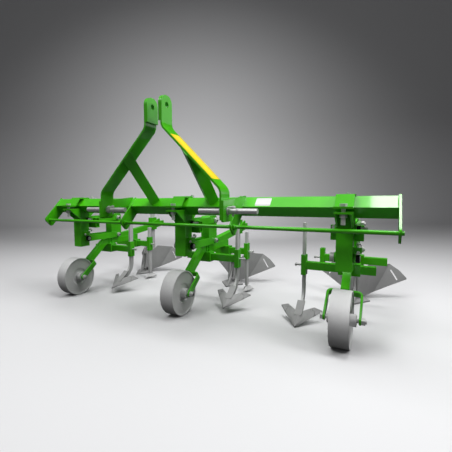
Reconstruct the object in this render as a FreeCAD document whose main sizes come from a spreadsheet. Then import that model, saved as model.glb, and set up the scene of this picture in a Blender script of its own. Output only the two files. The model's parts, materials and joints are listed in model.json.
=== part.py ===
import FreeCAD, Part
import math
import os
import re
import Sketcher

# Three-row tractor ridger: a three-point toolbar that carries three row units.
# Millimetres. +X runs along the toolbar, +Y points to the rear, +Z points up, the ground is Z = 0.
# The origin lies on the ground under the middle of the machine's outline.

os.makedirs("parts", exist_ok=True)
doc = FreeCAD.newDocument("tractor_ridger")

X_AXIS = FreeCAD.Vector(1, 0, 0)
Y_AXIS = FreeCAD.Vector(0, 1, 0)
Z_AXIS = FreeCAD.Vector(0, 0, 1)

SIZES = {
    # toolbar beam: a square tube that stands on its edge
    "beam_side": 60, "beam_wall": 5, "beam_end_reach": 175, "beam_rise": 86,
    # flat plates that hang from the beam and carry the tie rod
    "plate_thick": 8, "plate_lap": 4, "plate_length": 180, "plate_round": 16,
    # tie rod: its place on the plates is measured down and across from the beam's top edge
    "rod_radius": 8, "rod_down": 158, "rod_across": 24, "rod_overhang": 9, "rod_plate_inset": 12,
    "rod_collar_radius": 13, "rod_collar_long": 9,
    # three-point hitch, category 1
    "lower_span": 683, "pin_drop": 13, "mast_height": 460, "mast_ahead": 203,
    "clevis_gap": 60, "lug_thick": 10, "lug_long": 70, "top_hole_radius": 12.75,
    "mast_wide": 80, "mast_thick": 8, "mast_bend_rise": 73, "mast_bend_radius": 40, "mast_bend_drop": 25,
    "mast_top_reach": 40, "mast_top_round": 34, "leg_bottom_drop": 36,
    "hitch_plate_thick": 10, "hitch_plate_tall": 86, "hitch_plate_wide": 84, "hitch_plate_round": 8,
    "hitch_arm_rise": 36, "hitch_arm_drop": 14, "hitch_arm_lap": 6,
    "pin_radius": 11, "pin_out": 461, "pin_in": 206, "pin_boss_radius": 12, "pin_boss_long": 40,
    "collar_radius": 17, "collar_thick": 4.5, "pin_nut_flats": 32, "pin_nut_tall": 14,
    "linch_radius": 4, "linch_long": 44, "linch_place": 19, "linch_head_radius": 7,
    "linch_head_tall": 9, "ring_radius": 15, "ring_wire": 2.2,
    # square tubes on their edges, from the mast's flats down to the beam's upper front face
    "brace_place": 171, "brace_side": 50, "brace_wall": 4, "brace_ahead": 12,
    # row units: where they hang, and the clamps that hold them
    "row_spacing": 750, "head_wide": 62, "head_thick": 8, "ear_reach": 110, "ear_drop": 16,
    "cap_drop": 3, "cap_wide": 66, "cap_top_half": 37, "cap_foot_half": 70,
    "column_wide": 60, "column_deep": 66, "column_wall": 6,
    "column_drop": 48, "gusset_thick": 7, "gusset_tall": 55,
    "clamp_bolt_radius": 8, "clamp_bolt_place": 92, "clamp_bolt_end": 64, "rear_bolt_end": 58,
    "clamp_flats": 24, "clamp_head_tall": 10, "clamp_nut_tall": 13,
    # parallel linkage
    "pivot_place": 12, "arm_length": 270, "low_pivot_height": 338, "pivot_rise": 117,
    "arm_thick": 8, "arm_gap": 1, "low_arm_tall": 38, "high_arm_tall": 34, "arm_web": 8,
    "pivot_radius": 10, "bolt_radius": 8, "running_gap": 0.05, "open_gap": 0.5,
    "pivot_cap_radius": 19, "pivot_cap_long": 15, "pivot_flats": 30, "bolt_flats": 24, "bolt_nut_tall": 13,
    "heel_rise": 6, "heel_deep": 10, "block_half": 62, "block_place": 60, "block_deep": 32,
    "block_up": 9, "block_down": 53, "block_wall": 5, "upper_pin_reach": 78,
    # drop stop screw on the column's side
    "stop_lug_wide": 30, "stop_lug_rise": 24, "stop_lug_tall": 22, "stop_lug_front": 12,
    "stop_lug_deep": 26, "stop_screw_place": 48, "stop_screw_radius": 6, "stop_screw_long": 50,
    "stop_screw_back": 20, "stop_screw_tilt": 30, "stop_flats": 18, "stop_nut_tall": 8,
    # row frame: post, rail, spine and the leg socket
    "post_wide": 52, "post_ahead": 48, "post_deep": 96, "post_rise": 25, "post_round": 14,
    "rail_wide": 40, "rail_ahead": 67, "rail_drop": 59, "rail_tall": 36,
    "spine_wide": 36, "spine_lap": 10, "spine_lift": 17, "spine_tall": 40, "spine_rise": 62,
    "spine_tail": 130, "socket_behind": 448, "socket_wide": 36, "socket_deep": 62,
    "socket_lift": 36, "socket_tall": 96, "cheek_thick": 9, "cheek_front": 56, "cheek_lift": 12, "cheek_tall": 76,
    # square tool bars and the blocks that clamp them
    "bar_side": 36, "bar_wall": 4, "front_bar_ahead": 52, "rear_bar_behind": 205,
    "front_bar_out": 107, "rear_bar_out": 150, "block_grip": 9, "grip_half": 46,
    "front_sleeve_place": 200, "rear_sleeve_place": 155, "sleeve_wall": 5, "sleeve_drop": 47,
    "sleeve_tall": 98, "slide_gap": 0.3, "set_radius": 5, "set_long": 30, "set_flats": 14, "set_head": 7,
    # support wheel, its fork and its arm
    "wheel_radius": 111, "wheel_wide": 70, "fork_corner_gap": 25.6, "rim_wall": 6, "rim_lip": 5,
    "disc_thick": 5, "hub_radius": 24, "hub_half": 52, "dish_radius": 44, "dish_deep": 7,
    "axle_radius": 8, "fork_half": 68, "fork_thick": 8, "fork_wide": 30,
    "fork_long": 130, "fork_tilt": 37.5, "fork_round": 20, "arm_wide": 32, "arm_tall": 40, "arm_curve_radius": 80,
    # hoe legs and sweeps
    "hoe_deep": 30, "hoe_thick": 12, "hoe_top": 480, "hoe_knee": 119, "hoe_slope": 35, "hoe_curve_radius": 85,
    "hoe_foot_ahead": 84, "left_hoe_lift": 8, "middle_hoe_lift": 6, "right_hoe_drop": 21, "rear_hoe_top": 372,
    "sweep_reach": 188, "sweep_tip_high": 29, "sweep_thick": 6, "sweep_half": 95, "sweep_back": 137,
    "sweep_end_rise": 45, "inner_half": 60, "inner_back": 130, "inner_rise": 58, "crown_back": 76,
    "crown_rise": 41, "neck_wide": 34, "neck_thick": 8, "neck_long": 54, "neck_lap": 16,
    "foot_half": 32, "foot_tip_ahead": 62, "foot_rear": 34, "foot_high": 26, "foot_thick": 6,
    "foot_lift": 10,
    # ridging body: leg, frog, share and two mouldboards
    "leg_deep": 40, "leg_thick": 12, "leg_top": 560, "leg_foot": 48, "frog_thick": 12,
    "share_tip_ahead": 215, "share_half": 76, "share_rear_ahead": 108, "share_rise": 10, "share_thick": 8,
    "breast_low_ahead": 190, "breast_top_ahead": 104, "breast_top": 172, "breast_hollow": 26,
    "frog_cheek_thick": 6, "frog_cheek_low": 62, "frog_cheek_tall": 104, "frog_cheek_front": 34,
    "hinge_offset": 16, "hinge_low": 34, "hinge_low_ahead": 126, "hinge_top": 158, "hinge_top_ahead": 98,
    "hinge_pin_radius": 5, "knuckle_radius": 8.5, "hinge_lug_long": 14,
    "board_thick": 5, "left_board_turn": 15,
    "curve_low_out": 44, "curve_low_ahead": 82, "curve_low_high": 20,
    "curve_top_out": 74, "curve_top_ahead": 34, "curve_top_high": 208,
    "crease_low_out": 91, "crease_low_ahead": 29, "crease_low_high": 39,
    "crease_top_out": 166, "crease_top_behind": 38, "crease_top_high": 195,
    "outer_low_out": 172, "outer_low_behind": 14, "outer_low_high": 76,
    "outer_top_out": 214, "outer_top_behind": 46, "outer_top_high": 160,
    "tip_out": 249, "tip_behind": 47, "tip_high": 112, "tip_edge": 8,
    "slot_wide": 7, "slot_long": 66, "slot_out": 187, "slot_high": 134, "slot_tilt": 31,
    # one overrun serves every cut
    "overrun": 5,
}

# Places that follow from the sizes above: each piece keeps its distance from what carries it.
RELATIONS = {
    "high_pivot_height": "low_pivot_height + pivot_rise",
    "beam_height": "high_pivot_height + beam_rise",
    "beam_half_length": "row_spacing + beam_end_reach",
    "pin_height": "beam_height - pin_drop",
    "lug_bottom": "pin_height + mast_height - lug_long",
    "mast_bend_height": "beam_height + mast_bend_rise",
    "mast_top_bend": "lug_bottom - mast_bend_drop",
    "column_bottom": "low_pivot_height - column_drop",
    "stop_lug_low": "low_pivot_height + stop_lug_rise",
    "block_top": "high_pivot_height + block_up",
    "block_bottom": "high_pivot_height - block_down",
    "rear_pivot": "pivot_place + arm_length",
    "post_front": "rear_pivot - post_ahead",
    "post_top": "high_pivot_height + post_rise",
    "rail_front": "rear_pivot - rail_ahead",
    "rail_bottom": "low_pivot_height - rail_drop",
    "bar_height": "rail_bottom - bar_side / 2 - block_grip",
    "front_bar_place": "rear_pivot - front_bar_ahead",
    "rear_bar_place": "rear_pivot + rear_bar_behind",
    "rail_rear": "rear_bar_place + bar_side / 2 + block_grip",
    "sleeve_low": "bar_height - sleeve_drop",
    "spine_front": "post_front + post_deep - spine_lap",
    "spine_low": "rail_bottom + spine_lift",
    "socket_place": "rear_pivot + socket_behind",
    "spine_reach": "socket_place + spine_tail",
    "socket_low": "spine_low + socket_lift",
    "cheek_low": "socket_low + cheek_lift",
    "fork_corner": "rail_front - fork_corner_gap",
    "wheel_ahead": "(rail_bottom + rail_tall / 2 - wheel_radius) / tan(fork_tilt * 1deg) - fork_corner",
}

sheet = doc.addObject("Spreadsheet::Sheet", "Sizes")
cells = []
WORD = re.compile(r"[a-z][a-z_0-9]*")


def add_cell(alias, content):
    """Writes one named size or relation in the sheet's next row."""
    cells.append(alias)
    sheet.set(f"A{len(cells)}", alias)
    sheet.set(f"B{len(cells)}", content)
    sheet.setAlias(f"B{len(cells)}", alias)


for alias, amount in SIZES.items():
    add_cell(alias, str(amount))
for alias, relation in RELATIONS.items():
    add_cell(alias, "=" + relation)
doc.recompute()


def formula(text):
    """Writes the names of sizes in a text as cells of the sheet."""
    return WORD.sub(lambda found: "Sizes." + found.group(0) if found.group(0) in cells else found.group(0), text)


def bind(item, **places):
    """Binds properties to formulas; two underscores in a name stand for a dot."""
    for name, text in places.items():
        item.setExpression(name.replace("__", "."), formula(text))


def number(text):
    """The present value of a formula, in millimetres."""
    result = sheet.evalExpression(formula(text))
    return float(getattr(result, "Value", result))


# Places that several pieces share, as formulas.
# X is measured from the mast's middle, Y from the beam's axis and Z from the ground.
# MAST_X and BEAM_Y then put the middle of the whole outline at the frame's origin.
ROD_END = "(beam_half_length + plate_thick + rod_overhang)"
LEFT_END = f"max(row_spacing + turned_tip_out; {ROD_END})"
RIGHT_END = f"max(row_spacing + tip_out; {ROD_END})"
MAST_X = f"({LEFT_END} - {RIGHT_END}) / 2"
BEAM_Y = "(mast_ahead + hitch_plate_wide / 2 - spine_reach) / 2"
HALF_DIAGONAL = "beam_side / sqrt(2)"
TOP_HOLE_HEIGHT = "(pin_height + mast_height)"
LUG_IN = "(clevis_gap / 2)"
MAST_IN = "(clevis_gap / 2 + lug_thick)"
MAST_OUT = "(clevis_gap / 2 + lug_thick + mast_thick)"
PLATE_OUT = "(lower_span / 2 - collar_thick)"
LEG_OUT = "(lower_span / 2 - collar_thick - hitch_plate_thick)"
LEG_IN = "(lower_span / 2 - collar_thick - hitch_plate_thick - mast_thick)"
ROD_PLATE_OUT = f"({LEG_OUT} - rod_plate_inset)"
MAST_LEAN = f"atan(({LEG_OUT} - {MAST_OUT}) / (mast_top_bend - mast_bend_height))"
BEND_MITRE = f"(mast_thick / 2 * tan({MAST_LEAN} / 2))"
ARM_IN = "(column_wide / 2 + arm_gap)"
ARM_OUT = "(column_wide / 2 + arm_gap + arm_thick)"
REAR_PIVOT = "rear_pivot"
ROD_Y = "(rod_across - rod_down) / sqrt(2)"
ROD_Z = "(beam_height + (beam_side - rod_down - rod_across) / sqrt(2))"
RAIL_MIDDLE = "(rail_bottom + rail_tall / 2)"
FORK_CORNER = "fork_corner"

UNITS = (
    ("left", "-row_spacing", 1, "left_hoe_lift"),
    ("middle", "0", 1, "middle_hoe_lift"),
    ("right", "row_spacing", -1, "-right_hoe_drop"),
)

sub_parts = []


def span(side, low, high):
    """A stretch along X, mirrored where side is -1."""
    return (low, high) if side > 0 else (f"-({high})", f"-({low})")


def box(name, x, y, z):
    """A block between pairs of formulas."""
    item = doc.addObject("Part::Box", name)
    bind(item, Length=f"({x[1]}) - ({x[0]})", Width=f"({y[1]}) - ({y[0]})", Height=f"({z[1]}) - ({z[0]})")
    bind(item, Placement__Base__x=x[0], Placement__Base__y=y[0], Placement__Base__z=z[0])
    return item


def turned_to(item, axis):
    """Turns a shape that stands on Z so that it lies along the named axis."""
    if axis == "X":
        item.Placement.Rotation = FreeCAD.Rotation(Y_AXIS, 90)
    elif axis == "Y":
        item.Placement.Rotation = FreeCAD.Rotation(X_AXIS, -90)


def rod(name, axis, radius, start, length):
    """A round bar from its start point along an axis."""
    item = doc.addObject("Part::Cylinder", name)
    turned_to(item, axis)
    bind(item, Radius=radius, Height=length)
    bind(item, Placement__Base__x=start[0], Placement__Base__y=start[1], Placement__Base__z=start[2])
    return item


def hexagon(name, axis, flats, start, length):
    """A hexagonal prism with the given width across its flats."""
    item = doc.addObject("Part::Prism", name)
    item.Polygon = 6
    turned_to(item, axis)
    bind(item, Circumradius=f"{flats} / sqrt(3)", Height=length)
    bind(item, Placement__Base__x=start[0], Placement__Base__y=start[1], Placement__Base__z=start[2])
    return item


def join(name, pieces):
    item = doc.addObject("Part::MultiFuse", name)
    item.Shapes = pieces
    item.Refine = True
    return item


def cut(name, base, tools):
    item = doc.addObject("Part::Cut", name)
    item.Base = base
    item.Tool = tools[0] if len(tools) == 1 else join(name + "_tools", tools)
    item.Refine = True
    return item


def group(name, pieces):
    item = doc.addObject("Part::Compound", name)
    item.Links = pieces
    return item


def profile(name, plane, points, start, length, rounds=None):
    """A body padded from a closed outline.

    The outline's points are pairs of formulas in the plane, the pad runs from start along +X, +Y or +Z,
    and rounds gives a radius formula for the corners that it lists.
    """
    body = doc.addObject("PartDesign::Body", name)
    sketch = body.newObject("Sketcher::SketchObject", name + "_outline")
    sketch.AttachmentSupport = (next(f for f in body.Origin.OriginFeatures if f.Role == plane + "_Plane"), "")
    sketch.MapMode = "FlatFace"
    lift = f"-({start})" if plane == "XZ" else start
    sketch.setExpression("AttachmentOffset.Base.z", formula(lift))
    places = [FreeCAD.Vector(number(u), number(v), 0) for u, v in points]
    for here, there in zip(places, places[1:] + places[:1]):
        sketch.addGeometry(Part.LineSegment(here, there), False)
    for index, (u, v) in enumerate(points):
        following = (index + 1) % len(points)
        sketch.addConstraint(Sketcher.Constraint("Coincident", index, 2, following, 1))
        across = sketch.addConstraint(Sketcher.Constraint("DistanceX", -1, 1, index, 1, places[index].x))
        sketch.setExpression(f"Constraints[{across}]", formula(u))
        up = sketch.addConstraint(Sketcher.Constraint("DistanceY", -1, 1, index, 1, places[index].y))
        sketch.setExpression(f"Constraints[{up}]", formula(v))
    pad = body.newObject("PartDesign::Pad", name + "_pad")
    pad.Profile = sketch
    pad.Reversed = plane == "XZ"
    bind(pad, Length=length)
    body.Tip = pad
    for count, (radius, corners) in enumerate((rounds or {}).items()):
        doc.recompute()
        base = body.Tip
        fillet = body.newObject("PartDesign::Fillet", f"{name}_round_{count}")
        fillet.Base = (base, corner_edges(base.Shape, plane, [places[index] for index in corners]))
        bind(fillet, Radius=radius)
        body.Tip = fillet
    return body


def corner_edges(shape, plane, corners):
    """Names of the straight edges that stand square to the outline at the given corners."""
    names = []
    for index, edge in enumerate(shape.Edges, 1):
        ends = [flat_place(vertex.Point, plane) for vertex in edge.Vertexes]
        if len(ends) == 2 and (ends[0] - ends[1]).Length < 1e-6:
            if any((ends[0] - corner).Length < 1e-4 for corner in corners):
                names.append(f"Edge{index}")
    return names


def flat_place(point, plane):
    if plane == "YZ":
        return FreeCAD.Vector(point.y, point.z, 0)
    if plane == "XZ":
        return FreeCAD.Vector(point.x, point.z, 0)
    return FreeCAD.Vector(point.x, point.y, 0)


def long_edges(shape, direction, test):
    """Names of the straight edges along a direction whose middle passes the test."""
    names = []
    for index, edge in enumerate(shape.Edges, 1):
        if len(edge.Vertexes) == 2:
            run = edge.Vertexes[1].Point - edge.Vertexes[0].Point
            if run.Length > 0 and abs(abs(run.normalize().dot(direction)) - 1) < 1e-6:
                if test(edge.CenterOfMass):
                    names.append(f"Edge{index}")
    return names


def round_more(body, radius, direction, test):
    """Rounds further edges of a body, found by their direction and place."""
    doc.recompute()
    base = body.Tip
    fillet = body.newObject("PartDesign::Fillet", body.Name + "_more_round")
    fillet.Base = (base, long_edges(base.Shape, direction, test))
    bind(fillet, Radius=radius)
    body.Tip = fillet


def feature(name, shape):
    """A sub-part whose shape is made here; the group keeps each solid's own place."""
    item = doc.addObject("Part::Feature", name)
    item.Shape = Part.Compound(shape.Solids)
    return item


def finish(name, item, x="0"):
    """Names a sub-part and puts it in the machine's frame."""
    item.Label = name
    bind(item, Placement__Base__x=f"({x}) + {MAST_X}", Placement__Base__y=BEAM_Y, Placement__Base__z="0")
    sub_parts.append(item)


def beam_bar(name, side, half_length):
    """A square bar on its edge about the beam's axis."""
    item = doc.addObject("Part::Box", name)
    item.Placement.Rotation = FreeCAD.Rotation(X_AXIS, 45)
    bind(item, Length=f"2 * ({half_length})", Width=side, Height=side)
    bind(item, Placement__Base__x=f"-({half_length})", Placement__Base__z=f"beam_height - ({side}) / sqrt(2)")
    return item


def down_plate(down, across):
    """A point on the hanging plates, measured down and across from the beam's top edge."""
    return (f"(({across}) - ({down})) / sqrt(2)", f"beam_height + (beam_side - ({down}) - ({across})) / sqrt(2)")


def brace_bar(name, x, side, early="0"):
    """A square bar on its edge that stands square on the beam's upper front face, or starts early, inside it."""
    item = doc.addObject("Part::Box", name)
    item.Placement.Rotation = FreeCAD.Rotation(X_AXIS, 45).multiply(FreeCAD.Rotation(Z_AXIS, 45))
    bind(item, Length=side, Width=side, Height="(mast_ahead + mast_wide) * sqrt(2)")
    bind(item, Placement__Base__x=x, Placement__Base__y=f"({early}) / sqrt(2) - brace_ahead - ({side}) / 2",
         Placement__Base__z=f"beam_height + {HALF_DIAGONAL} - brace_ahead - ({early}) / sqrt(2) - ({side}) / 2")
    return item


def hanging_plate(name, start):
    """A flat that follows the beam's upper front face and reaches down to the tie rod."""
    outline = [
        down_plate("-plate_lap", "-plate_lap"),
        down_plate("-plate_lap", "beam_side + plate_lap"),
        down_plate("plate_length", "beam_side + plate_lap"),
        down_plate("plate_length", "-plate_lap"),
    ]
    return profile(name, "YZ", outline, start, "plate_thick", {"plate_round": (2, 3)})


def build_toolbar():
    envelope = beam_bar("beam_envelope", "beam_side", "beam_half_length")
    hollow = beam_bar("beam_hollow", "beam_side - 2 * beam_wall", "beam_half_length + overrun")
    finish("toolbar_beam", cut("beam", envelope, [hollow]))

    rod_hole = rod("rod_hole", "X", "rod_radius + slide_gap",
                   ("-(beam_half_length + plate_thick + overrun)", ROD_Y, ROD_Z),
                   "2 * (beam_half_length + plate_thick + overrun)")
    ends = []
    for name, start in (("left_end", "-(beam_half_length + plate_thick)"), ("right_end", "beam_half_length")):
        ends.append(cut(name, hanging_plate(name + "_blank", start), [rod_hole]))
    finish("end_plates", group("ends", ends))

    inner = []
    for name, start in (("left_rod_plate", f"-{ROD_PLATE_OUT}"), ("right_rod_plate", f"{ROD_PLATE_OUT} - plate_thick")):
        inner.append(cut(name, hanging_plate(name + "_blank", start), [rod_hole, envelope]))
    finish("rod_plates", group("inner_plates", inner))

    bars = [rod("rod_bar", "X", "rod_radius", (f"-{ROD_END}", ROD_Y, ROD_Z), f"2 * {ROD_END}")]
    for name, start in (("left_collar", f"-{ROD_PLATE_OUT} + plate_thick"), ("right_collar", ROD_PLATE_OUT)):
        bars.append(rod(name, "X", "rod_collar_radius", (start, ROD_Y, ROD_Z), "rod_collar_long"))
    finish("tie_rod", join("rod_with_collars", bars))
    return envelope


def mast_flat(name, side):
    """A bent flat with a lug welded inside its upper end."""
    top = f"{TOP_HOLE_HEIGHT} + mast_top_reach"
    bottom = "pin_height - leg_bottom_drop"
    outline = [
        (LUG_IN, top),
        (MAST_OUT, top),
        (MAST_OUT, f"mast_top_bend + {BEND_MITRE}"),
        (LEG_OUT, f"mast_bend_height + {BEND_MITRE}"),
        (LEG_OUT, bottom),
        (LEG_IN, bottom),
        (LEG_IN, f"mast_bend_height - {BEND_MITRE}"),
        (MAST_IN, f"mast_top_bend - {BEND_MITRE}"),
        (MAST_IN, "lug_bottom"),
        (LUG_IN, "lug_bottom"),
    ]
    outline = [(f"{side} * ({x})", z) for x, z in outline]
    rounds = {"mast_bend_radius": (2, 6), "mast_bend_radius + mast_thick": (3, 7)}
    flat = profile(name, "XZ", outline, "-mast_ahead - mast_wide / 2", "mast_wide", rounds)
    round_more(flat, "mast_top_round", X_AXIS, lambda middle: middle.z > number(top) - number("overrun"))
    return flat


def build_hitch():
    flats = {}
    top_hole = rod("top_hole", "X", "top_hole_radius", (f"-{MAST_OUT} - overrun", "-mast_ahead", TOP_HOLE_HEIGHT),
                   f"2 * ({MAST_OUT} + overrun)")
    pin_hole = rod("pin_hole", "X", "pin_radius + slide_gap", ("-pin_out", "-mast_ahead", "pin_height"), "2 * pin_out")
    for name, side in (("left", -1), ("right", 1)):
        flats[name] = mast_flat(f"{name}_mast_blank", side)
        finish(f"mast_{name}", cut(f"{name}_mast", flats[name], [top_hole, pin_hole]))

    front = "-mast_ahead - hitch_plate_wide / 2"
    rear = "-mast_ahead + hitch_plate_wide / 2"
    outline = [
        (front, "pin_height + hitch_plate_tall / 2"),
        (front, "pin_height - hitch_plate_tall / 2"),
        (rear, "pin_height - hitch_plate_tall / 2"),
        (rear, "beam_height - hitch_arm_drop"),
        (f"-{HALF_DIAGONAL} - hitch_arm_drop", "beam_height - hitch_arm_drop"),
        (f"-{HALF_DIAGONAL}", "beam_height"),
        ("0", f"beam_height + {HALF_DIAGONAL}"),
        ("0", f"beam_height + {HALF_DIAGONAL} + hitch_arm_lap"),
        (rear, "beam_height + hitch_arm_rise"),
    ]
    plates = []
    for name, start in (("left", f"-{PLATE_OUT}"), ("right", LEG_OUT)):
        blank = profile(f"{name}_hitch_blank", "YZ", outline, start, "hitch_plate_thick", {"hitch_plate_round": (1, 2)})
        plates.append(cut(f"{name}_hitch_plate", blank, [pin_hole]))
    finish("hitch_plates", group("hitch_plate_pair", plates))

    braces = []
    bend_low = f"mast_bend_height - {BEND_MITRE}"
    bend_high = f"mast_top_bend - {BEND_MITRE}"
    for name, side in (("left", -1), ("right", 1)):
        blank = brace_bar(f"{name}_brace_blank", f"{side} * brace_place", "brace_side")
        hollow = brace_bar(f"{name}_brace_hollow", f"{side} * brace_place", "brace_side - 2 * brace_wall", "overrun")
        # all that lies above the inner face of the mast's slanted flat
        corners = [
            (f"{side} * {LEG_IN}", bend_low),
            (f"{side} * {MAST_IN}", bend_high),
            (f"{side} * {LEG_OUT}", bend_high),
        ]
        beyond = profile(f"{name}_brace_end", "XZ", corners, "-mast_ahead - 2 * mast_wide", "4 * mast_wide")
        braces.append(cut(f"{name}_brace", blank, [hollow, beyond]))
    finish("mast_braces", group("brace_pair", braces))

    pins = []
    linches = []
    for name, side in (("left", -1), ("right", 1)):
        low, high = span(side, "pin_in", "pin_out")
        bar = rod(f"{name}_pin_bar", "X", "pin_radius", (low, "-mast_ahead", "pin_height"), f"({high}) - ({low})")
        low, high = span(side, PLATE_OUT, "lower_span / 2")
        collar = rod(f"{name}_pin_collar", "X", "collar_radius", (low, "-mast_ahead", "pin_height"), "collar_thick")
        low, high = span(side, "lower_span / 2", "lower_span / 2 + pin_boss_long")
        boss = rod(f"{name}_pin_boss", "X", "pin_boss_radius", (low, "-mast_ahead", "pin_height"), "pin_boss_long")
        low, high = span(side, f"{LEG_IN} - pin_nut_tall", LEG_IN)
        nut = hexagon(f"{name}_pin_nut", "X", "pin_nut_flats", (low, "-mast_ahead", "pin_height"), "pin_nut_tall")
        # both linch pins stand on the +X side of their plates
        near = "lower_span / 2 + linch_place" if side > 0 else f"-({LEG_IN} - pin_nut_tall - linch_place)"
        bar_top = "pin_boss_radius" if side > 0 else "pin_radius"
        hole = rod(f"{name}_linch_hole", "Z", "linch_radius + slide_gap",
                   (near, "-mast_ahead", "pin_height - linch_long / 2"), "linch_long")
        solid = join(f"{name}_pin_solid", [bar, collar, boss, nut])
        pins.append(cut(f"{name}_hitch_pin", solid, [hole]))
        linches.append(linch_pin(f"{name}_linch", near, f"pin_height + {bar_top} + slide_gap"))
    finish("hitch_pins", group("hitch_pin_pair", pins))
    finish("linch_pins", group("linch_pin_pair", linches))


def linch_pin(name, x, head_low):
    """A short pin with a sprung ring, which lies over the hitch pin's front."""
    pin = rod(name + "_pin", "Z", "linch_radius", (x, "-mast_ahead", "pin_height - linch_long / 2"), "linch_long")
    head = rod(name + "_head", "Z", "linch_head_radius", (x, "-mast_ahead", head_low), "linch_head_tall")
    ring = doc.addObject("Part::Torus", name + "_ring")
    bind(ring, Radius1="ring_radius", Radius2="ring_wire")
    bind(ring, Placement__Base__x=x, Placement__Base__y="-mast_ahead - ring_radius",
         Placement__Base__z=f"{head_low} + linch_head_tall / 2")
    return join(name, [pin, head, ring])


def saddle(name):
    """A plate bent to a V under the beam, whose two ends are flat ears."""
    ear = "beam_height - ear_drop"
    outer_ear = "beam_height - ear_drop - head_thick"
    face = f"({HALF_DIAGONAL} - ear_drop)"
    outer_face = f"({HALF_DIAGONAL} + (sqrt(2) - 1) * head_thick - ear_drop)"
    outline = [
        ("-ear_reach", ear),
        (f"-{face}", ear),
        ("0", f"beam_height - {HALF_DIAGONAL}"),
        (face, ear),
        ("ear_reach", ear),
        ("ear_reach", outer_ear),
        (outer_face, outer_ear),
        ("0", f"beam_height - ({HALF_DIAGONAL} + sqrt(2) * head_thick)"),
        (f"-{outer_face}", outer_ear),
        ("-ear_reach", outer_ear),
    ]
    return profile(name, "YZ", outline, "-head_wide / 2", "head_wide")


def clamp_cap(name):
    """A plate bent to a flat-topped bridge over the beam's upper edge, with an ear at each foot."""
    low = "beam_height - cap_drop"
    ridge = f"beam_height + {HALF_DIAGONAL}"
    lean = f"atan(({HALF_DIAGONAL} + cap_drop) / (cap_foot_half - cap_top_half))"
    mitre = f"head_thick * tan({lean} / 2)"
    half = [
        ("ear_reach", low),
        ("ear_reach", f"{low} + head_thick"),
        ("cap_foot_half", f"{low} + head_thick"),
        ("cap_top_half", f"{ridge} + head_thick"),
    ]
    inside = [(f"(cap_top_half - {mitre})", ridge), (f"(cap_foot_half - {mitre})", low)]
    outline = half + [(f"-{y}", z) for y, z in reversed(half)]
    outline += [(f"-{y}", z) for y, z in reversed(inside)] + inside
    return profile(name, "YZ", outline, "-cap_wide / 2", "cap_wide")


def column(unit, envelope):
    """The hanging box of a row unit, with its saddle, gussets, pivot holes and stop lug."""
    ear_bottom = "beam_height - ear_drop - head_thick"
    outside = box(f"{unit}_column_outside", ("-column_wide / 2", "column_wide / 2"),
                  ("-column_deep / 2", "column_deep / 2"), ("column_bottom", ear_bottom))
    inside = box(f"{unit}_column_inside", ("-column_wide / 2 + column_wall", "column_wide / 2 - column_wall"),
                 ("-column_deep / 2 + column_wall", "column_deep / 2 - column_wall"),
                 ("column_bottom - overrun", "high_pivot_height + column_wide / 2"))
    tube = cut(f"{unit}_column_tube", outside, [inside])
    pieces = [tube, saddle(f"{unit}_saddle")]
    for place, sign in (("front", "-"), ("rear", "")):
        outline = [
            (f"{sign}(ear_reach - plate_lap)", ear_bottom),
            (f"{sign}column_deep / 2", ear_bottom),
            (f"{sign}column_deep / 2", f"{ear_bottom} - gusset_tall"),
        ]
        for hand, start in (("left", "-column_wide / 2"), ("right", "column_wide / 2 - gusset_thick")):
            pieces.append(profile(f"{unit}_{place}_{hand}_gusset", "YZ", outline, start, "gusset_thick"))
    pieces.append(box(f"{unit}_stop_lug", ("column_wide / 2 - column_wall", "column_wide / 2 + stop_lug_wide"),
                      ("-stop_lug_front", "stop_lug_deep - stop_lug_front"),
                      ("stop_lug_low", "stop_lug_low + stop_lug_tall")))
    solid = join(f"{unit}_column_solid", pieces)
    tools = [envelope]
    for place, radius, height in (("low", "pivot_radius", "low_pivot_height"), ("high", "bolt_radius", "high_pivot_height")):
        tools.append(rod(f"{unit}_{place}_pivot_hole", "X", f"{radius} + running_gap",
                         ("-column_wide", "pivot_place", height), "2 * column_wide"))
    for place, sign in (("front", "-"), ("rear", "")):
        tools.append(rod(f"{unit}_{place}_ear_hole", "Z", "clamp_bolt_radius + slide_gap",
                         ("0", f"{sign}clamp_bolt_place", f"{ear_bottom} - overrun"), "head_thick + 2 * overrun"))
    tools.append(stop_rod(f"{unit}_stop_hole", "stop_screw_radius + slide_gap", "-stop_screw_long", "2 * stop_screw_long"))
    return cut(f"{unit}_column", solid, tools)


def stop_rod(name, radius, start, length):
    """A round bar on the tilted line of the drop stop screw."""
    item = doc.addObject("Part::Cylinder", name)
    bind(item, Radius=radius, Height=length)
    place_on_stop_line(item, start)
    return item


def place_on_stop_line(item, start):
    """Turns an upright shape onto the stop screw's line, a distance from the lug's middle."""
    item.Placement.Rotation = FreeCAD.Rotation(X_AXIS, number("stop_screw_tilt") - 90)
    middle_y = "(stop_lug_deep / 2 - stop_lug_front)"
    middle_z = "(stop_lug_low + stop_lug_tall / 2)"
    bind(item, Placement__Base__x="stop_screw_place",
         Placement__Base__y=f"{middle_y} + ({start}) * cos(stop_screw_tilt)",
         Placement__Base__z=f"{middle_z} + ({start}) * sin(stop_screw_tilt)")


def stop_screw(unit):
    """A hexagon screw with a lock nut, threaded through the lug on the column's side."""
    shank = stop_rod(f"{unit}_stop_shank", "stop_screw_radius", "-stop_screw_back", "stop_screw_long")
    head = doc.addObject("Part::Prism", f"{unit}_stop_head")
    head.Polygon = 6
    bind(head, Circumradius="stop_flats / sqrt(3)", Height="stop_nut_tall")
    place_on_stop_line(head, "stop_screw_long - stop_screw_back")
    return join(f"{unit}_stop_screw", [shank, head])


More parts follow.
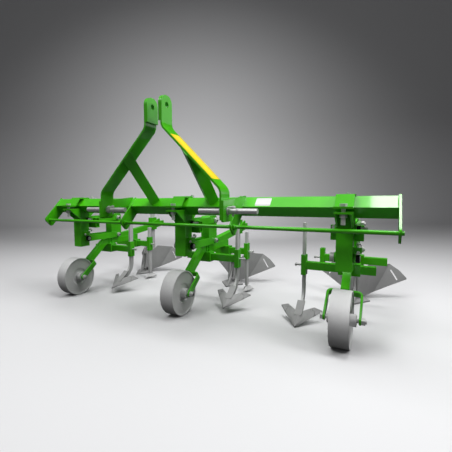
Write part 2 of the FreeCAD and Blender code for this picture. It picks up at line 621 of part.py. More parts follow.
def clamp_bolt(name, y, low, high, head_low):
    """A clamp bolt with its nut: the head is at the top, or at the bottom where head_low is true."""
    shank = rod(name + "_shank", "Z", "clamp_bolt_radius", ("0", y, low), f"({high}) - ({low})")
    cap_top = "beam_height - cap_drop + head_thick"
    ear_bottom = "beam_height - ear_drop - head_thick"
    top_start = f"{cap_top} + slide_gap"
    bottom_head = f"{ear_bottom} - slide_gap - clamp_head_tall"
    bottom_nut = f"{ear_bottom} - slide_gap - clamp_nut_tall"
    if head_low:
        head = hexagon(name + "_head", "Z", "clamp_flats", ("0", y, bottom_head), "clamp_head_tall")
        nut = hexagon(name + "_nut_blank", "Z", "clamp_flats", ("0", y, top_start), "clamp_nut_tall")
    else:
        head = hexagon(name + "_head", "Z", "clamp_flats", ("0", y, top_start), "clamp_head_tall")
        nut = hexagon(name + "_nut_blank", "Z", "clamp_flats", ("0", y, bottom_nut), "clamp_nut_tall")
    hole = rod(name + "_nut_hole", "Z", "clamp_bolt_radius + running_gap", ("0", y, low), f"({high}) - ({low})")
    return [join(name, [shank, head]), cut(name + "_nut", nut, [hole])]


def build_clamps(envelope):
    caps = []
    bolts = []
    screws = []
    pins = []
    nuts = []
    for unit, x, side, lift in UNITS:
        finish(f"column_{unit}", column(unit, envelope), x)
        blank = clamp_cap(f"{unit}_cap_blank")
        holes = []
        for place, sign in (("front", "-"), ("rear", "")):
            holes.append(rod(f"{unit}_{place}_cap_hole", "Z", "clamp_bolt_radius + slide_gap",
                             ("0", f"{sign}clamp_bolt_place", "beam_height - cap_drop - overrun"),
                             "head_thick + 2 * overrun"))
        caps.append(moved(f"{unit}_cap", [cut(f"{unit}_cap_solid", blank, holes)], x))
        front = clamp_bolt(f"{unit}_front_bolt", "-clamp_bolt_place", "beam_height - clamp_bolt_end",
                           "beam_height - cap_drop + head_thick + clamp_head_tall / 2", False)
        rear = clamp_bolt(f"{unit}_rear_bolt", "clamp_bolt_place",
                          "beam_height - ear_drop - head_thick - clamp_head_tall / 2", "beam_height + rear_bolt_end", True)
        bolts.append(moved(f"{unit}_clamp_bolts", front + rear, x))
        screws.append(moved(f"{unit}_stop", [stop_screw(unit)], x))
        pins.append(moved(f"{unit}_pivots", pivot_pins(unit), x))
        nuts.append(moved(f"{unit}_pivot_nuts", pivot_nuts(unit), x))
    finish("clamp_caps", group("caps", caps))
    finish("clamp_bolts", group("bolts", bolts))
    finish("stop_screws", group("stops", screws))
    finish("pivot_pins", group("pivots", pins))
    finish("pivot_nuts", group("pivot_nut_set", nuts))


def moved(name, pieces, x):
    """A group of solids carried along X to its row unit."""
    item = group(name, pieces)
    bind(item, Placement__Base__x=x)
    return item


def pivot_pins(unit):
    """The two pins in the column that the arms turn on, each with its head on the left."""
    low_start = f"-{ARM_OUT} - arm_gap"
    low = [
        rod(f"{unit}_low_pin", "X", "pivot_radius", (low_start, "pivot_place", "low_pivot_height"),
            f"2 * ({ARM_OUT} + arm_gap) + pivot_cap_long"),
        rod(f"{unit}_low_cap", "X", "pivot_cap_radius",
            (f"{low_start} - pivot_cap_long", "pivot_place", "low_pivot_height"), "pivot_cap_long"),
    ]
    high_start = f"-{ARM_OUT} - arm_gap"
    high = [
        rod(f"{unit}_high_pin", "X", "bolt_radius", (high_start, "pivot_place", "high_pivot_height"),
            f"{ARM_OUT} + arm_gap + upper_pin_reach"),
        hexagon(f"{unit}_high_head", "X", "bolt_flats",
                (f"{high_start} - clamp_head_tall", "pivot_place", "high_pivot_height"), "clamp_head_tall"),
    ]
    return [join(f"{unit}_low_pivot", low), join(f"{unit}_high_pivot", high)]


def pivot_nuts(unit):
    start = f"{ARM_OUT} + arm_gap"
    result = []
    for place, radius, flats, height in (("low", "pivot_radius", "pivot_flats", "low_pivot_height"),
                                         ("high", "bolt_radius", "bolt_flats", "high_pivot_height")):
        blank = hexagon(f"{unit}_{place}_nut_blank", "X", flats, (start, "pivot_place", height), "bolt_nut_tall")
        hole = rod(f"{unit}_{place}_nut_hole", "X", f"{radius} + running_gap", ("0", "pivot_place", height), "pin_out")
        result.append(cut(f"{unit}_{place}_pivot_nut", blank, [hole]))
    return result


def arm_sides(name, height, tall):
    """Two flats with round ends that run beside the column and the post."""
    sides = []
    for hand, start in (("left", f"-{ARM_OUT}"), ("right", ARM_IN)):
        x = (start, f"{start} + arm_thick")
        sides.append(box(f"{name}_{hand}_flat", x, ("pivot_place", REAR_PIVOT),
                         (f"{height} - {tall} / 2", f"{height} + {tall} / 2")))
        for end, y in (("front", "pivot_place"), ("rear", REAR_PIVOT)):
            sides.append(rod(f"{name}_{hand}_{end}_eye", "X", f"{tall} / 2", (start, y, height), "arm_thick"))
    return sides


def arm_hole(name, radius, y, height):
    return rod(name, "X", radius, (f"-{ARM_OUT} - overrun", y, height), f"2 * ({ARM_OUT} + overrun)")


def lower_arm(unit):
    pieces = arm_sides(f"{unit}_low", "low_pivot_height", "low_arm_tall")
    # the heel meets the column's rear face when the arm lies level
    heel = "column_deep / 2 + slide_gap"
    pieces.append(box(f"{unit}_heel", (f"-{ARM_IN}", ARM_IN), (heel, f"{heel} + heel_deep"),
                      ("low_pivot_height + heel_rise", "low_pivot_height + low_arm_tall / 2")))
    pieces.append(box(f"{unit}_low_web", (f"-{ARM_IN}", ARM_IN),
                      ("post_front - column_deep", "post_front - column_deep + arm_web"),
                      ("low_pivot_height - low_arm_tall / 2 + arm_gap", "low_pivot_height + low_arm_tall / 2 - arm_gap")))
    holes = [arm_hole(f"{unit}_low_front_eye", "pivot_radius + running_gap", "pivot_place", "low_pivot_height"),
             arm_hole(f"{unit}_low_rear_eye", "bolt_radius + running_gap", REAR_PIVOT, "low_pivot_height")]
    return cut(f"{unit}_lower_arm", join(f"{unit}_lower_arm_solid", pieces), holes)


def upper_arm(unit):
    pieces = arm_sides(f"{unit}_high", "high_pivot_height", "high_arm_tall")
    # a box across the arm's front, which meets the stop screw when the arm has dropped
    pieces.append(box(f"{unit}_block", ("-block_half", "block_half"), ("block_place", "block_place + block_deep"),
                      ("block_bottom", "block_top")))
    hollow = box(f"{unit}_block_hollow", ("-block_half - overrun", "block_half + overrun"),
                 ("block_place + block_wall", "block_place + block_deep - block_wall"),
                 ("block_bottom + block_wall", "block_top - block_wall"))
    pieces.append(box(f"{unit}_high_web", (f"-{ARM_IN}", ARM_IN),
                      ("post_front - column_deep", "post_front - column_deep + arm_web"),
                      ("high_pivot_height - high_arm_tall / 2 + arm_gap", "high_pivot_height + high_arm_tall / 2 - arm_gap")))
    holes = [arm_hole(f"{unit}_high_front_eye", "bolt_radius + running_gap", "pivot_place", "high_pivot_height"),
             arm_hole(f"{unit}_high_rear_eye", "bolt_radius + open_gap", REAR_PIVOT, "high_pivot_height"), hollow]
    return cut(f"{unit}_upper_arm", join(f"{unit}_upper_arm_solid", pieces), holes)


def row_frame(unit):
    """Post, rail, spine, leg socket and bar blocks, welded into one frame."""
    post = profile(f"{unit}_post", "YZ", [
        ("post_front", "rail_bottom"),
        ("post_front + post_deep", "rail_bottom"),
        ("post_front + post_deep", "post_top"),
        ("post_front", "post_top"),
    ], "-post_wide / 2", "post_wide", {"post_round": (2, 3)})
    rail = box(f"{unit}_rail", ("-rail_wide / 2", "rail_wide / 2"), ("rail_front", "rail_rear"),
               ("rail_bottom", "rail_bottom + rail_tall"))
    spine = profile(f"{unit}_spine", "YZ", [
        ("spine_front", "spine_low"),
        ("spine_reach", "spine_low + spine_rise"),
        ("spine_reach", "spine_low + spine_rise + spine_tall"),
        ("spine_front", "spine_low + spine_tall"),
    ], "-spine_wide / 2", "spine_wide", {"plate_lap": (1, 2)})
    socket = box(f"{unit}_socket", ("-socket_wide / 2", "socket_wide / 2"),
                 ("socket_place - socket_deep / 2", "socket_place + socket_deep / 2"),
                 ("socket_low", "socket_low + socket_tall"))
    pieces = [post, rail, spine, socket]
    for hand, start in (("left", "-socket_wide / 2 - cheek_thick"), ("right", "socket_wide / 2")):
        pieces.append(profile(f"{unit}_{hand}_cheek", "YZ", [
            ("socket_place - cheek_front", "cheek_low"),
            ("socket_place + socket_deep", "cheek_low + cheek_tall / 2"),
            ("socket_place + socket_deep", "cheek_low + cheek_tall"),
            ("socket_place - cheek_front", "cheek_low + cheek_tall / 2"),
        ], start, "cheek_thick"))
    tools = []
    for place, y in (("front", "front_bar_place"), ("rear", "rear_bar_place")):
        grip = "(bar_side / 2 + block_grip)"
        pieces.append(box(f"{unit}_{place}_grip", ("-grip_half", "grip_half"), (f"{y} - {grip}", f"{y} + {grip}"),
                          (f"bar_height - {grip}", f"bar_height + {grip}")))
        tools.append(box(f"{unit}_{place}_grip_hole", ("-grip_half - overrun", "grip_half + overrun"),
                         (f"{y} - bar_side / 2", f"{y} + bar_side / 2"),
                         ("bar_height - bar_side / 2", "bar_height + bar_side / 2")))
    for place, height in (("low", "low_pivot_height"), ("high", "high_pivot_height")):
        tools.append(rod(f"{unit}_{place}_post_hole", "X", "bolt_radius + running_gap",
                         ("-post_wide", REAR_PIVOT, height), "2 * post_wide"))
    tools.append(box(f"{unit}_leg_way", ("-leg_thick / 2 - slide_gap", "leg_thick / 2 + slide_gap"),
                     ("socket_place - leg_deep / 2 - slide_gap", "socket_place + leg_deep / 2 + slide_gap"),
                     ("rail_bottom", "leg_top")))
    tools.append(rod(f"{unit}_leg_screw_hole", "Y", "set_radius + running_gap",
                     ("0", "socket_place", "socket_low + socket_tall - 2 * set_flats"), "2 * socket_deep"))
    return cut(f"{unit}_row_frame", join(f"{unit}_row_frame_solid", pieces), tools)


def tool_bar(unit, place, side, y, out, sleeve_place):
    """A square bar with an upright sleeve on its long end."""
    wall = "sleeve_wall"
    sleeve_in = f"{sleeve_place} - hoe_thick / 2 - slide_gap - {wall}"
    sleeve_out = f"{sleeve_place} + hoe_thick / 2 + slide_gap + {wall}"
    sleeve_half = f"(hoe_deep / 2 + slide_gap + {wall})"
    name = f"{unit}_{place}"
    outer = box(name + "_bar_outside", span(side, f"-({out})", sleeve_in), (f"{y} - bar_side / 2", f"{y} + bar_side / 2"),
                ("bar_height - bar_side / 2", "bar_height + bar_side / 2"))
    hollow = box(name + "_bar_inside", span(side, f"-({out}) - overrun", f"{sleeve_in} - {wall}"),
                 (f"{y} - bar_side / 2 + bar_wall", f"{y} + bar_side / 2 - bar_wall"),
                 ("bar_height - bar_side / 2 + bar_wall", "bar_height + bar_side / 2 - bar_wall"))
    sleeve = box(name + "_sleeve", span(side, sleeve_in, sleeve_out), (f"{y} - {sleeve_half}", f"{y} + {sleeve_half}"),
                 ("sleeve_low", "sleeve_low + sleeve_tall"))
    way = box(name + "_sleeve_way",
              span(side, f"{sleeve_place} - hoe_thick / 2 - slide_gap", f"{sleeve_place} + hoe_thick / 2 + slide_gap"),
              (f"{y} - hoe_deep / 2 - slide_gap", f"{y} + hoe_deep / 2 + slide_gap"),
              ("sleeve_low - overrun", "sleeve_low + sleeve_tall + overrun"))
    low, high = span(side, sleeve_place, f"{sleeve_out} + overrun")
    screw_hole = rod(name + "_screw_hole", "X", "set_radius + running_gap", (low, y, "bar_height"), f"({high}) - ({low})")
    return cut(f"{unit}_{place}_bar", join(name + "_bar_solid", [outer, sleeve]), [hollow, way, screw_hole])


def tool_bars(unit, side):
    front = tool_bar(unit, "front", side, "front_bar_place", "front_bar_out", "front_sleeve_place")
    rear = tool_bar(unit, "rear", side, "rear_bar_place", "rear_bar_out", "rear_sleeve_place")
    return group(f"{unit}_tool_bars", [front, rear])


def screw_along_x(name, side, tip, y, height):
    """A set screw whose tip stands at the given distance out along X."""
    low, high = span(side, tip, f"({tip}) + set_long")
    shank = rod(name + "_shank", "X", "set_radius", (low, y, height), "set_long")
    low, high = span(side, f"({tip}) + set_long", f"({tip}) + set_long + set_head")
    head = hexagon(name + "_head", "X", "set_flats", (low, y, height), "set_head")
    return join(name, [shank, head])


def through_bolt(name, radius, flats, reach, y, height):
    """A bolt along X with its head on the left and a nut on the right, both at reach from the middle."""
    shank = rod(name + "_shank", "X", radius, (f"-({reach})", y, height), f"2 * ({reach}) + bolt_nut_tall + set_radius")
    head = hexagon(name + "_head", "X", flats, (f"-({reach}) - clamp_head_tall", y, height), "clamp_head_tall")
    blank = hexagon(name + "_nut_blank", "X", flats, (reach, y, height), "bolt_nut_tall")
    hole = rod(name + "_nut_hole", "X", f"{radius} + running_gap", (f"-({reach})", y, height), f"4 * ({reach})")
    return [join(name, [shank, head]), cut(name + "_nut", blank, [hole])]


def unit_fasteners(unit, side):
    pieces = []
    for place, height in (("low", "low_pivot_height"), ("high", "high_pivot_height")):
        pieces += through_bolt(f"{unit}_{place}_rear_bolt", "bolt_radius", "bolt_flats", f"{ARM_OUT} + arm_gap",
                               REAR_PIVOT, height)
    pieces += through_bolt(f"{unit}_axle", "axle_radius", "bolt_flats", "fork_half + slide_gap",
                           "-wheel_ahead", "wheel_radius")
    for place, y, x in (("front", "front_bar_place", "front_sleeve_place"), ("rear", "rear_bar_place", "rear_sleeve_place")):
        pieces.append(screw_along_x(f"{unit}_{place}_set_screw", side, f"{x} + hoe_thick / 2 + slide_gap", y, "bar_height"))
    tip = "socket_place + leg_deep / 2 + slide_gap"
    height = "socket_low + socket_tall - 2 * set_flats"
    shank = rod(f"{unit}_leg_screw_shank", "Y", "set_radius", ("0", tip, height), "set_long")
    head = hexagon(f"{unit}_leg_screw_head", "Y", "set_flats", ("0", f"{tip} + set_long", height), "set_head")
    pieces.append(join(f"{unit}_leg_screw", [shank, head]))
    return group(f"{unit}_fastener_set", pieces)


def wheel_fork(unit):
    """A U-shaped flat round the wheel with a curved arm up to the rail."""
    loop = profile(f"{unit}_fork_loop", "XY", [
        ("-fork_half", "-fork_wide / 2"),
        ("-fork_half + fork_thick", "-fork_wide / 2"),
        ("-fork_half + fork_thick", "fork_long - fork_thick"),
        ("fork_half - fork_thick", "fork_long - fork_thick"),
        ("fork_half - fork_thick", "-fork_wide / 2"),
        ("fork_half", "-fork_wide / 2"),
        ("fork_half", "fork_long"),
        ("-fork_half", "fork_long"),
    ], "-fork_wide / 2", "fork_wide", {"fork_round": (6, 7), "fork_round - fork_thick": (2, 3)})
    round_more(loop, "fork_wide / 2 - arm_gap", X_AXIS, lambda middle: middle.y < number("-fork_wide / 2 + arm_gap"))
    eye = rod(f"{unit}_fork_eye", "X", "axle_radius + running_gap", ("-fork_half - overrun", "0", "0"),
              "2 * (fork_half + overrun)")
    fork = cut(f"{unit}_fork", loop, [eye])
    fork.Placement.Rotation = FreeCAD.Rotation(X_AXIS, number("fork_tilt"))
    bind(fork, Placement__Base__y="-wheel_ahead", Placement__Base__z="wheel_radius")

    mitre = "(arm_tall / 2 * tan(fork_tilt / 2))"
    foot_y = "(fork_long * cos(fork_tilt) - wheel_ahead)"
    foot_z = "(fork_long * sin(fork_tilt) + wheel_radius)"
    arm = profile(f"{unit}_fork_arm", "YZ", [
        ("rail_front", f"{RAIL_MIDDLE} + arm_tall / 2"),
        (f"{FORK_CORNER} - {mitre}", f"{RAIL_MIDDLE} + arm_tall / 2"),
        (f"{foot_y} - arm_tall / 2 * sin(fork_tilt)", f"{foot_z} + arm_tall / 2 * cos(fork_tilt)"),
        (f"{foot_y} + arm_tall / 2 * sin(fork_tilt)", f"{foot_z} - arm_tall / 2 * cos(fork_tilt)"),
        (f"{FORK_CORNER} + {mitre}", f"{RAIL_MIDDLE} - arm_tall / 2"),
        ("rail_front", f"{RAIL_MIDDLE} - arm_tall / 2"),
    ], "-arm_wide / 2", "arm_wide")
    round_corner(arm, "arm_curve_radius", [1])
    round_corner(arm, "arm_curve_radius - arm_tall", [4])
    grip = "(bar_side / 2 + block_grip + slide_gap)"
    room = box(f"{unit}_grip_room", ("-grip_half - slide_gap", "grip_half + slide_gap"),
               (f"front_bar_place - {grip}", f"front_bar_place + {grip}"), (f"bar_height - {grip}", f"bar_height + {grip}"))
    return cut(f"{unit}_wheel_fork", join(f"{unit}_wheel_fork_solid", [fork, arm]), [room])


def round_corner(body, radius, corners):
    """Rounds corners of a body's own outline."""
    doc.recompute()
    sketch = body.Group[0]
    places = [sketch.Geometry[index].StartPoint for index in corners]
    base = body.Tip
    fillet = body.newObject("PartDesign::Fillet", f"{body.Name}_corner_{corners[0]}")
    fillet.Base = (base, corner_edges(base.Shape, "YZ", places))
    bind(fillet, Radius=radius)
    body.Tip = fillet


def wheel(unit):
    """A hollow steel drum with dished sides and a long hub, turned about its axle."""
    body = doc.addObject("PartDesign::Body", f"{unit}_wheel_body")
    outside = [
        ("-hub_half", "axle_radius + running_gap"),
        ("-hub_half", "hub_radius"),
        ("-wheel_wide / 2 + dish_deep + rim_lip", "hub_radius"),
        ("-wheel_wide / 2 + dish_deep + rim_lip", "dish_radius"),
        ("-wheel_wide / 2 + rim_lip", "dish_radius + dish_deep"),
        ("-wheel_wide / 2 + rim_lip", "wheel_radius - rim_wall"),
        ("-wheel_wide / 2", "wheel_radius - rim_wall"),
        ("-wheel_wide / 2", "wheel_radius"),
    ]
    outside += [(mirrored(x), r) for x, r in reversed(outside)]
    inner_x = "(wheel_wide / 2 - dish_deep - rim_lip - disc_thick)"
    outer_x = "(wheel_wide / 2 - rim_lip - disc_thick)"
    inside = [
        (f"-{inner_x}", "hub_radius"),
        (f"-{inner_x}", "dish_radius"),
        (f"-{outer_x}", "dish_radius + dish_deep"),
        (f"-{outer_x}", "wheel_radius - rim_wall"),
    ]
    inside += [(mirrored(x), r) for x, r in reversed(inside)]
    sketch = body.newObject("Sketcher::SketchObject", f"{unit}_wheel_section")
    sketch.AttachmentSupport = (next(f for f in body.Origin.OriginFeatures if f.Role == "XZ_Plane"), "")
    sketch.MapMode = "FlatFace"
    for loop in (outside, inside):
        add_loop(sketch, loop)
    turn = body.newObject("PartDesign::Revolution", f"{unit}_wheel_turn")
    turn.Profile = sketch
    turn.ReferenceAxis = (sketch, ["H_Axis"])
    turn.Angle = 360
    body.Tip = turn
    return body


def mirrored(x):
    return x[1:] if x.startswith("-") and x.count(" ") == 0 else f"-({x})"


def add_loop(sketch, points):
    """Adds one closed outline to a sketch, each corner bound to its two formulas."""
    first = sketch.GeometryCount
    places = [FreeCAD.Vector(number(u), number(v), 0) for u, v in points]
    for here, there in zip(places, places[1:] + places[:1]):
        sketch.addGeometry(Part.LineSegment(here, there), False)
    for index, (u, v) in enumerate(points):
        following = first + (index + 1) % len(points)
        sketch.addConstraint(Sketcher.Constraint("Coincident", first + index, 2, following, 1))
        across = sketch.addConstraint(Sketcher.Constraint("DistanceX", -1, 1, first + index, 1, places[index].x))
        sketch.setExpression(f"Constraints[{across}]", formula(u))
        up = sketch.addConstraint(Sketcher.Constraint("DistanceY", -1, 1, first + index, 1, places[index].y))
        sketch.setExpression(f"Constraints[{up}]", formula(v))


def size(alias):
    return float(sheet.get(alias))


def sheet_metal(sections, thick, direction):
    """A ruled plate through pairs of edge points, thickened along one direction."""
    shift = FreeCAD.Vector(direction).normalize() * thick
    wires = [Part.makePolygon([low, high, high + shift, low + shift, low]) for low, high in sections]
    return Part.makeLoft(wires, True, True)


def sweep_share(tip, end, inner, notch, thick):
    """A V-shaped share: two wings of sheet that meet on the middle line."""
    wings = []
    for side in (-1, 1):
        outer = FreeCAD.Vector(side * end.x, end.y, end.z)
        inside = FreeCAD.Vector(side * inner.x, inner.y, inner.z)
        wings.append(sheet_metal([(tip, notch), (outer, inside)], thick, -Z_AXIS))
    return wings[0].fuse(wings[1])


def hoe_sweep(side, lift):
    """The sweep of a front hoe: two wings, a crown, and a neck that lies on the leg's front face."""
    y = size("front_bar_place")
    reach = size("sweep_reach")
    level = size("sweep_tip_high") + lift

    def behind_tip(across, back, rise):
        return FreeCAD.Vector(across, y - reach + back, level + rise)

    crown = behind_tip(0, size("crown_back"), size("crown_rise"))
    thick = size("sweep_thick")
    share = sweep_share(behind_tip(0, 0, 0),
                        behind_tip(size("sweep_half"), size("sweep_back"), size("sweep_end_rise")),
                        behind_tip(size("inner_half"), size("inner_back"), size("inner_rise")), crown, thick)
    slope = math.radians(size("hoe_slope"))
    along = FreeCAD.Vector(0, math.cos(slope), math.sin(slope))
    outward = FreeCAD.Vector(0, -math.sin(slope), math.cos(slope))
    foot_high = size("hoe_knee") - size("hoe_foot_ahead") * math.tan(slope) + lift
    shin_end = FreeCAD.Vector(0, y - size("hoe_foot_ahead"), foot_high) + outward * (size("hoe_deep") / 2)
    under = outward * size("slide_gap")
    over = under + outward * size("neck_thick")
    lap = size("neck_lap")
    corners = [
        shin_end + under,
        shin_end + along * size("neck_long") + under,
        shin_end + along * size("neck_long") + over,
        shin_end + over,
        behind_tip(0, size("crown_back") - lap, size("crown_rise") * (1 - lap / size("crown_back"))),
        crown - Z_AXIS * thick,
    ]
    half = X_AXIS * (size("neck_wide") / 2)
    outline = Part.makePolygon([corner - half for corner in corners + corners[:1]])
    shape = share.fuse(Part.Face(outline).extrude(half * 2)).removeSplitter()
    shape.translate(X_AXIS * side * size("front_sleeve_place"))
    return shape


def front_hoe_leg(unit, side, lift):
    """A flat leg that hangs in the front sleeve and curves forward to its sweep."""
    y = "front_bar_place"
    half = "hoe_deep / 2"
    middle = f"{side} * front_sleeve_place"
    mitre = f"{half} * tan(45 - hoe_slope / 2)"
    foot = "(hoe_knee - hoe_foot_ahead * tan(hoe_slope))"
    outline = [
        (f"{y} + {half}", f"hoe_top + {lift}"),
        (f"{y} - {half}", f"hoe_top + {lift}"),
        (f"{y} - {half}", f"hoe_knee + {lift} + {mitre}"),
        (f"{y} - hoe_foot_ahead - {half} * sin(hoe_slope)", f"{foot} + {lift} + {half} * cos(hoe_slope)"),
        (f"{y} - hoe_foot_ahead + {half} * sin(hoe_slope)", f"{foot} + {lift} - {half} * cos(hoe_slope)"),
        (f"{y} + {half}", f"hoe_knee + {lift} - {mitre}"),
    ]
    return profile(f"{unit}_front_leg", "YZ", outline, f"{middle} - hoe_thick / 2", "hoe_thick",
                   {f"hoe_curve_radius - {half}": (2,), f"hoe_curve_radius + {half}": (5,)})


def rear_hoe(unit, side):
    """A straight flat leg in the rear sleeve with a small foot share."""
    y = "rear_bar_place"
    middle = f"{side} * rear_sleeve_place"
    leg = box(f"{unit}_rear_leg", (f"{middle} - hoe_thick / 2", f"{middle} + hoe_thick / 2"),
              (f"{y} - hoe_deep / 2", f"{y} + hoe_deep / 2"), ("foot_high + foot_thick + foot_lift", "rear_hoe_top"))
    rise = size("foot_thick") + size("foot_lift")
    place = size("rear_bar_place")
    share = sweep_share(FreeCAD.Vector(0, place - size("foot_tip_ahead"), rise),
                        FreeCAD.Vector(size("foot_half"), place + size("foot_rear"), rise),
                        FreeCAD.Vector(size("foot_half") / 2, place + size("foot_rear"), rise + size("foot_high") / 2),
                        FreeCAD.Vector(0, place, rise + size("foot_high")), size("foot_thick"))
    share.translate(X_AXIS * side * size("rear_sleeve_place"))
    return group(f"{unit}_rear_hoe", [leg, feature(f"{unit}_foot", share)])


def hinge_line():
    """Ends of the right mouldboard's hinge pin, in the unit's own frame."""
    y = size("socket_place")
    low = FreeCAD.Vector(size("hinge_offset"), y - size("hinge_low_ahead"), size("hinge_low"))
    high = FreeCAD.Vector(size("hinge_offset"), y - size("hinge_top_ahead"), size("hinge_top"))
    return low, high


def ridger_body():
    """Share, frog plate, leg cheeks and the two hinge pins, welded together."""
    y = size("socket_place")
    thick = size("share_thick")
    share = sweep_share(FreeCAD.Vector(0, y - size("share_tip_ahead"), thick),
                        FreeCAD.Vector(size("share_half"), y - size("share_rear_ahead"), thick),
                        FreeCAD.Vector(size("share_half") / 2, y - size("share_rear_ahead") + size("share_half") / 2,
                                       thick + size("share_rise")),
                        FreeCAD.Vector(0, y - size("share_rear_ahead"), thick + size("share_rise")), thick)
    half = size("frog_thick") / 2
    low = FreeCAD.Vector(-half, y - size("breast_low_ahead"), thick)
    top = FreeCAD.Vector(-half, y - size("breast_top_ahead"), size("breast_top"))
    chord = top - low
    hollow = FreeCAD.Vector(0, chord.z, -chord.y).normalize() * size("breast_hollow")
    belly = (low + top) / 2 + hollow
    rear_y = y - size("leg_deep") / 2 - size("slide_gap")
    back_top = FreeCAD.Vector(-half, rear_y, size("breast_top"))
    back_low = FreeCAD.Vector(-half, rear_y, thick)
    outline = Part.Wire([Part.Arc(low, belly, top).toShape(), Part.makeLine(top, back_top),
                         Part.makeLine(back_top, back_low), Part.makeLine(back_low, low)])
    frog = Part.Face(outline).extrude(X_AXIS * 2 * half)
    solids = [share, frog]
    for side in (-1, 1):
        start = half if side > 0 else -half - size("frog_cheek_thick")
        deep = size("frog_cheek_front") + size("leg_deep")
        solids.append(Part.makeBox(size("frog_cheek_thick"), deep, size("frog_cheek_tall"),
                                   FreeCAD.Vector(start, y + size("leg_deep") / 2 - deep, size("frog_cheek_low"))))
        solids += hinge_pin(side)
    shape = solids[0].multiFuse(solids[1:])
    leg_room = size("slide_gap")
    shape = shape.cut(Part.makeBox(2 * half + 2 * leg_room, size("leg_deep") + 2 * leg_room, size("leg_top"),
                                   FreeCAD.Vector(-half - leg_room, y - size("leg_deep") / 2 - leg_room,
                                                  size("leg_foot") - leg_room)))
    return shape.removeSplitter()


def hinge_pin(side):
    """A leaning hinge pin beside the frog, held by a lug at each end."""
    low, high = (mirror_point(point, side) for point in hinge_line())
    along = (high - low).normalize()
    pin = Part.makeCylinder(size("hinge_pin_radius"), (high - low).Length, low, along)
    lugs = []
    for start in (low, high - along * size("hinge_lug_long")):
        round_lug = Part.makeCylinder(size("knuckle_radius"), size("hinge_lug_long"), start, along)
        bridge = Part.makeBox(size("hinge_offset"), 2 * size("knuckle_radius"), size("hinge_lug_long"))
        bridge.translate(FreeCAD.Vector(0 if side > 0 else -size("hinge_offset"), -size("knuckle_radius"), 0))
        bridge.Placement = FreeCAD.Placement(FreeCAD.Vector(0, start.y, start.z),
                                             FreeCAD.Rotation(Z_AXIS, along)).multiply(bridge.Placement)
        lugs.append(round_lug.fuse(bridge))
    return [pin] + lugs


def mirror_point(point, side):
    return FreeCAD.Vector(side * point.x, point.y, point.z)


def mouldboard(side):
    """A curved board with a folded outer wing, a slot, and a knuckle on its front edge."""
    y = size("socket_place")
    low, high = hinge_line()
    along = (high - low).normalize()
    radius = size("knuckle_radius")
    front_low = low + along * (size("hinge_lug_long") + size("slide_gap"))
    front_high = high - along * (size("hinge_lug_long") + size("slide_gap"))
    thick = size("board_thick")
    # the front edge lies against the knuckle's outer side
    edge = FreeCAD.Vector(radius - thick, 0, 0)

    def at(name):
        back = -size(name + "_ahead") if name + "_ahead" in SIZES else size(name + "_behind")
        return FreeCAD.Vector(size(name + "_out"), y + back, size(name + "_high"))

    tip = at("tip")
    sections = [
        (front_low + edge, front_high + edge),
        (at("curve_low"), at("curve_top")),
        (at("crease_low"), at("crease_top")),
        (at("outer_low"), at("outer_top")),
        (tip, tip + Z_AXIS * size("tip_edge")),
    ]
    backward = FreeCAD.Vector(-size("crease_top_out"), size("crease_top_out"), 0)
    board = sheet_metal(sections, thick, backward)
    knuckle = Part.makeCylinder(radius, (front_high - front_low).Length, front_low, along)
    shape = board.fuse(knuckle)
    bore = Part.makeCylinder(size("hinge_pin_radius") + size("running_gap"), 2 * (high - low).Length,
                             low - along * (high - low).Length / 2, along)
    room = size("hinge_lug_long") + size("overrun")
    lug_rooms = [Part.makeCylinder(radius + size("slide_gap"), room, front_low - along * room, along),
                 Part.makeCylinder(radius + size("slide_gap"), room, front_high, along)]
    shape = shape.cut(bore).cut(board_slot(y)).cut(lug_rooms[0]).cut(lug_rooms[1])
    shape = shape.removeSplitter()
    if side < 0:
        # the left boards stand folded further back than the right ones
        shape.rotate(low, along, size("left_board_turn"))
        shape = shape.mirror(FreeCAD.Vector(0, 0, 0), X_AXIS)
    return shape


def board_slot(y):
    """The cutter for the long slot in the outer wing."""
    wide = size("slot_wide")
    long = size("slot_long")
    bar = Part.makeBox(wide, 4 * size("leg_deep"), long - wide, FreeCAD.Vector(-wide / 2, -2 * size("leg_deep"),
                                                                              -(long - wide) / 2))
    ends = [Part.makeCylinder(wide / 2, 4 * size("leg_deep"),
                              FreeCAD.Vector(0, -2 * size("leg_deep"), sign * (long - wide) / 2), Y_AXIS)
            for sign in (-1, 1)]
    slot = bar.multiFuse(ends)
    slot.Placement = FreeCAD.Placement(FreeCAD.Vector(size("slot_out"), y, size("slot_high")),
                                       FreeCAD.Rotation(Y_AXIS, -size("slot_tilt")))
    return slot


def ridger_leg(unit):
    """The upright flat that carries the ridging body, with a bevelled top."""
    front = "socket_place - leg_deep / 2"
    rear = "socket_place + leg_deep / 2"
    return profile(f"{unit}_ridger_leg", "YZ", [
        (front, "leg_foot"),
        (rear, "leg_foot"),
        (rear, "leg_top - leg_thick"),
        (f"{rear} - leg_thick", "leg_top"),
        (f"{front} + leg_thick", "leg_top"),
        (front, "leg_top - leg_thick"),
    ], "-leg_thick / 2", "leg_thick")


